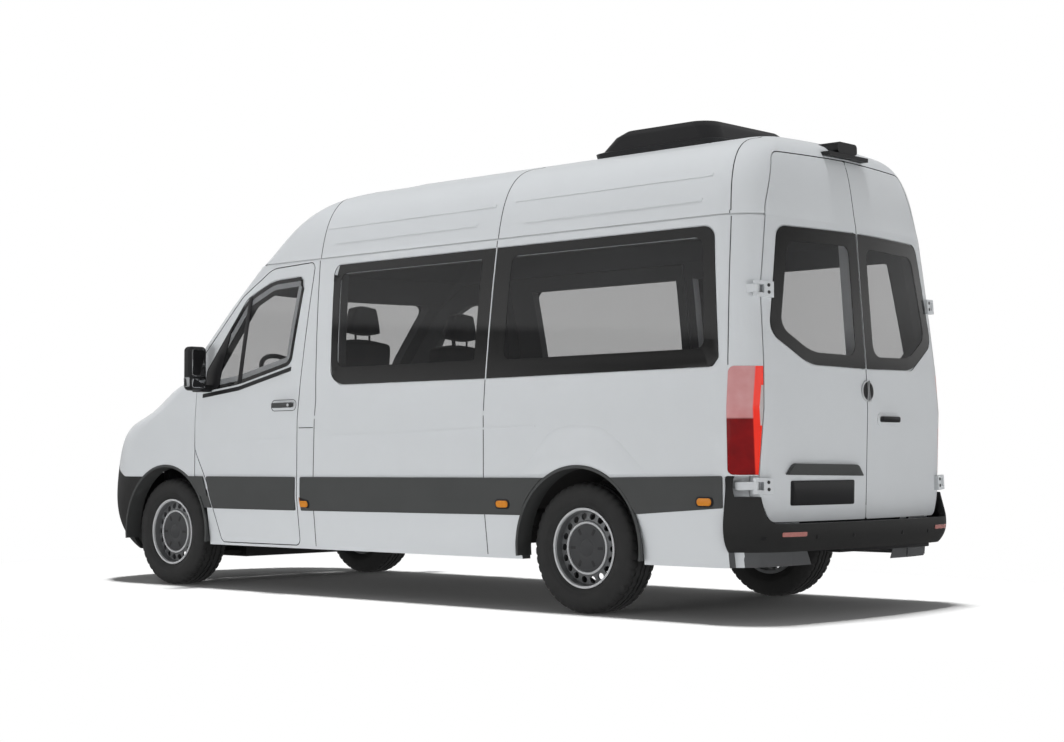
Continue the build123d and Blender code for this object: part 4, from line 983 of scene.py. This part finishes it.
def pad(name, low, high, crown_axis, lean=0.0, slack=0.05, taper=0.0):
    bm = bmesh.new()
    bmesh.ops.create_cube(bm, size=2)
    bmesh.ops.subdivide_edges(bm, edges=bm.edges[:], cuts=PAD_CUTS, use_grid_fill=True)
    size = [(b - a) / 2 for a, b in zip(low, high)]
    for vert in bm.verts:
        u = list(vert.co)
        for axis in range(3):
            others = [u[k] for k in range(3) if k != axis]
            full = (1 - others[0] ** 2) * (1 - others[1] ** 2)
            pull = CROWN if axis == crown_axis else slack
            vert.co[axis] = u[axis] * (1 - pull + pull * full)
        channel = min(abs(abs(u[1]) - CHANNEL_AT) / CHANNEL_WIDE, 1.0)
        if abs(u[crown_axis]) > OUTER_FACE:
            vert.co[crown_axis] *= 1 - CHANNEL_DEEP + CHANNEL_DEEP * channel
        vert.co.y *= 1 - taper * (u[2] + 1) / 2
    bmesh.ops.scale(bm, vec=size, verts=bm.verts)
    bmesh.ops.translate(bm, vec=[(a + b) / 2 for a, b in zip(low, high)], verts=bm.verts)
    for vert in bm.verts:
        vert.co.x -= lean * (vert.co.z - low[2])
    bmesh.ops.recalc_face_normals(bm, faces=bm.faces)
    obj = piece(name, bm, "hull", seat_cloth, sharp=180)
    rounder = obj.modifiers.new("rounder", "SUBSURF")
    rounder.levels = 2
    rounder.render_levels = 2
    return obj


print("pad helper ready")

# %% Seats
SEAT_Y = 0.450
BASE_SIZE = (0.44, 0.42, 0.285)
POST_R = 0.007
POST_LONG = 0.12
for side, word in ((1, "driver"), (-1, "passenger")):
    y = side * SEAT_Y
    cushion = pad(word + "_cushion", (0.645, y - 0.25, 0.905), (1.170, y + 0.25, 1.048), 2)
    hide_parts(word + "_seat")
    pad(word + "_back_rest", (0.650, y - 0.24, 0.945), (0.790, y + 0.24, 1.612), 0, lean=0.12, slack=0.08)
    pad(word + "_head_rest", (0.573, y - 0.145, 1.634), (0.667, y + 0.145, 1.826), 0, slack=0.16, taper=0.30)
    bm = bmesh.new()
    box = bmesh.ops.create_cube(bm, size=1)["verts"]
    bmesh.ops.scale(bm, vec=BASE_SIZE, verts=box)
    bmesh.ops.translate(bm, vec=(0.88, y, 0.7575), verts=box)
    bmesh.ops.bevel(bm, geom=bm.edges[:], offset=0.012, affect="EDGES", segments=3, profile=0.5, material=-1)
    for shift in (-0.06, 0.06):
        post = bmesh.ops.create_cone(bm, cap_ends=True, segments=16, radius1=POST_R, radius2=POST_R,
                                     depth=POST_LONG)["verts"]
        bmesh.ops.translate(bm, vec=(0.620, y + shift, 1.63), verts=post)
    piece(word + "_seat_base", bm, "hull", trim_grey)
print("seats: 2, with cushion, back and head rest")

# %% [markdown]
# A camera is a place, an aim and a lens. Framing by eye would never line up with the photograph, so the three
# were fitted to points read from it. The sensor's width turns a focal length in pixels into millimetres.

# %% Camera
SENSOR = 36.0
FOCAL_PIXELS = 1866.8
PHOTO_WIDE = 1064.0
eye = bpy.data.cameras.new("photo_camera")
eye.sensor_fit = "HORIZONTAL"
eye.sensor_width = SENSOR
eye.lens = FOCAL_PIXELS * SENSOR / PHOTO_WIDE
eye.clip_end = 200.0
camera = bpy.data.objects.new("photo_camera", eye)
bpy.context.collection.objects.link(camera)
yaw, pitch, roll = math.radians(-47.46), math.radians(2.66), math.radians(-0.147)
aim = Vector((math.cos(pitch) * math.cos(yaw), math.cos(pitch) * math.sin(yaw), math.sin(pitch)))
upright = aim.to_track_quat("-Z", "Y").to_matrix()
camera.location = (-8.342, 8.595, 0.843)
camera.rotation_euler = (upright @ Matrix.Rotation(roll, 3, "Z")).to_euler()
bpy.context.scene.camera = camera
print("camera lens:", round(eye.lens, 2))

# %% [markdown]
# The world is white where it is looked at, straight or through glass, and dimmer where it lights the van. In
# reflections it is dim at the horizon, bright a little above it, falls off, and turns bright again with a
# sharp edge, which the glass shows as a level line. An image of a studio would do the same, but a ramp on
# height needs no file.

# %% World


def seen_directly(tree):
    rays = tree.nodes.new("ShaderNodeLightPath").outputs
    either = math_node(tree, "Math", "MAXIMUM", rays["Is Camera Ray"], rays["Is Transmission Ray"])
    return either[0], rays["Is Glossy Ray"]


WORLD_LIGHT = 0.17
HORIZON = (0.35, 0.35, 0.35, 1)
ZENITH = (0.30, 0.30, 0.30, 1)
STUDIO_LEVELS = ((0.10, 0.45), (0.15, 0.80), (0.235, 0.22), (0.245, 0.85), (0.45, 0.35))
world = bpy.data.worlds.new("studio")
world.use_nodes = True
bpy.context.scene.world = world
sky = world.node_tree
sky_way = sky.nodes.new("ShaderNodeTexCoord")
sky_axes = sky.nodes.new("ShaderNodeSeparateXYZ")
studio = sky.nodes.new("ShaderNodeValToRGB")
studio.color_ramp.elements[0].color = HORIZON
studio.color_ramp.elements[1].color = ZENITH
for up, level in STUDIO_LEVELS:
    studio.color_ramp.elements.new(up).color = (level, level, level, 1)
sky.links.new(sky_way.outputs["Generated"], sky_axes.inputs["Vector"])
sky.links.new(sky_axes.outputs["Z"], studio.inputs["Fac"])
looked_at, mirrored = seen_directly(sky)
lighting = mixed(sky, mirrored, WORLD_LIGHT, studio.outputs["Color"], "FLOAT")
strength = mixed(sky, looked_at, lighting, 1.0, "FLOAT")
sky.links.new(strength, sky.nodes["Background"].inputs["Strength"])
sky.nodes["Background"].inputs["Color"].default_value = (1, 1, 1, 1)
print("world light:", WORLD_LIGHT)

# %% [markdown]
# The floor is one large pale plane. Near the van it is a plain matt surface that keeps the shadow. Brighter
# lamps would turn the rest white but burn out the paint, so further out the floor fades to white for the
# camera alone, and reflections see it dim.

# %% Floor
FLOOR_HALF = 60
FADE_FROM = 3.0
FADE_TO = 5.2
FADE_STRETCH = (1.0, 1.6, 0.0)
FLOOR_IN_REFLECTIONS = 0.16
pale_floor = finish("pale_floor", (0.86, 0.86, 0.86), (0.88, 0.88, 0.88), 0.8, Specular_IOR_Level=0.0)
ground = pale_floor.node_tree
place = next(n for n in ground.nodes if n.type == "TEX_COORD")
looked_at, mirrored = seen_directly(ground)
squash = math_node(ground, "VectorMath", "MULTIPLY", place.outputs["Object"], FADE_STRETCH)
far = ground.nodes.new("ShaderNodeVectorMath")
far.operation = "LENGTH"
fade = ground.nodes.new("ShaderNodeMapRange")
fade.interpolation_type = "SMOOTHSTEP"
fade.inputs["From Min"].default_value = FADE_FROM
fade.inputs["From Max"].default_value = FADE_TO
direct = math_node(ground, "Math", "MULTIPLY", fade.outputs["Result"], looked_at)
white = ground.nodes.new("ShaderNodeEmission")
white.inputs["Color"].default_value = (1, 1, 1, 1)
both = ground.nodes.new("ShaderNodeMixShader")
dim = ground.nodes.new("ShaderNodeEmission")
dim.inputs["Strength"].default_value = FLOOR_IN_REFLECTIONS
last = ground.nodes.new("ShaderNodeMixShader")
floor_links = (
    (squash[0], far.inputs[0]),
    (far.outputs["Value"], fade.inputs["Value"]),
    (direct[0], both.inputs["Fac"]),
    (ground.nodes["Principled BSDF"].outputs[0], both.inputs[1]),
    (white.outputs[0], both.inputs[2]),
    (mirrored, last.inputs["Fac"]),
    (both.outputs[0], last.inputs[1]),
    (dim.outputs[0], last.inputs[2]),
    (last.outputs[0], ground.nodes["Material Output"].inputs["Surface"]),
)
for source, target in floor_links:
    ground.links.new(source, target)

floor_bm = bmesh.new()
bmesh.ops.create_grid(floor_bm, x_segments=1, y_segments=1, size=FLOOR_HALF)
floor_mesh = bpy.data.meshes.new("studio_floor")
floor_bm.to_mesh(floor_mesh)
floor_bm.free()
floor_mesh.materials.append(pale_floor)
floor = bpy.data.objects.new("studio_floor", floor_mesh)
bpy.context.collection.objects.link(floor)
print("floor fades from", FADE_FROM, "to", FADE_TO)

# %% [markdown]
# Soft lamps light the van at a plain level: one high overhead for the roof and the shadow, and a low wide one
# at each side and end. The ends get less, so that the rear face stays a little darker than the side, and low
# lamps leave the shadow dark. The paint mirrors the world and not the lamps, which would show as hard glare.

# %% Lamps
LAMP_Z = 0.48
AIM_Z = 0.6
LAMP_TALL = 0.9


def soft_lamp(name, place, target, wide, tall, power):
    lamp = bpy.data.lights.new(name, "AREA")
    lamp.shape = "RECTANGLE"
    lamp.size = wide
    lamp.size_y = tall
    lamp.energy = power
    obj = bpy.data.objects.new(name, lamp)
    obj.location = place
    obj.rotation_euler = (Vector(target) - Vector(place)).to_track_quat("-Z", "Y").to_euler()
    obj.visible_glossy = False
    bpy.context.collection.objects.link(obj)


soft_lamp("overhead_softbox", (0, 0, 30), (0, 0, 0), 3.0, 3.0, 9200.0)
soft_lamp("left_softbox", (0.5, 11, LAMP_Z), (0.5, 0, AIM_Z), 7.0, LAMP_TALL, 490.0)
soft_lamp("right_softbox", (0.5, -11, LAMP_Z), (0.5, 0, AIM_Z), 7.0, LAMP_TALL, 410.0)
soft_lamp("rear_softbox", (-13, 0, LAMP_Z), (0, 0, AIM_Z), 5.0, LAMP_TALL, 350.0)
soft_lamp("front_softbox", (13, 0, LAMP_Z), (0, 0, AIM_Z), 5.0, LAMP_TALL, 300.0)
bpy.context.scene.view_settings.view_transform = "Standard"
print("lamps: 5")
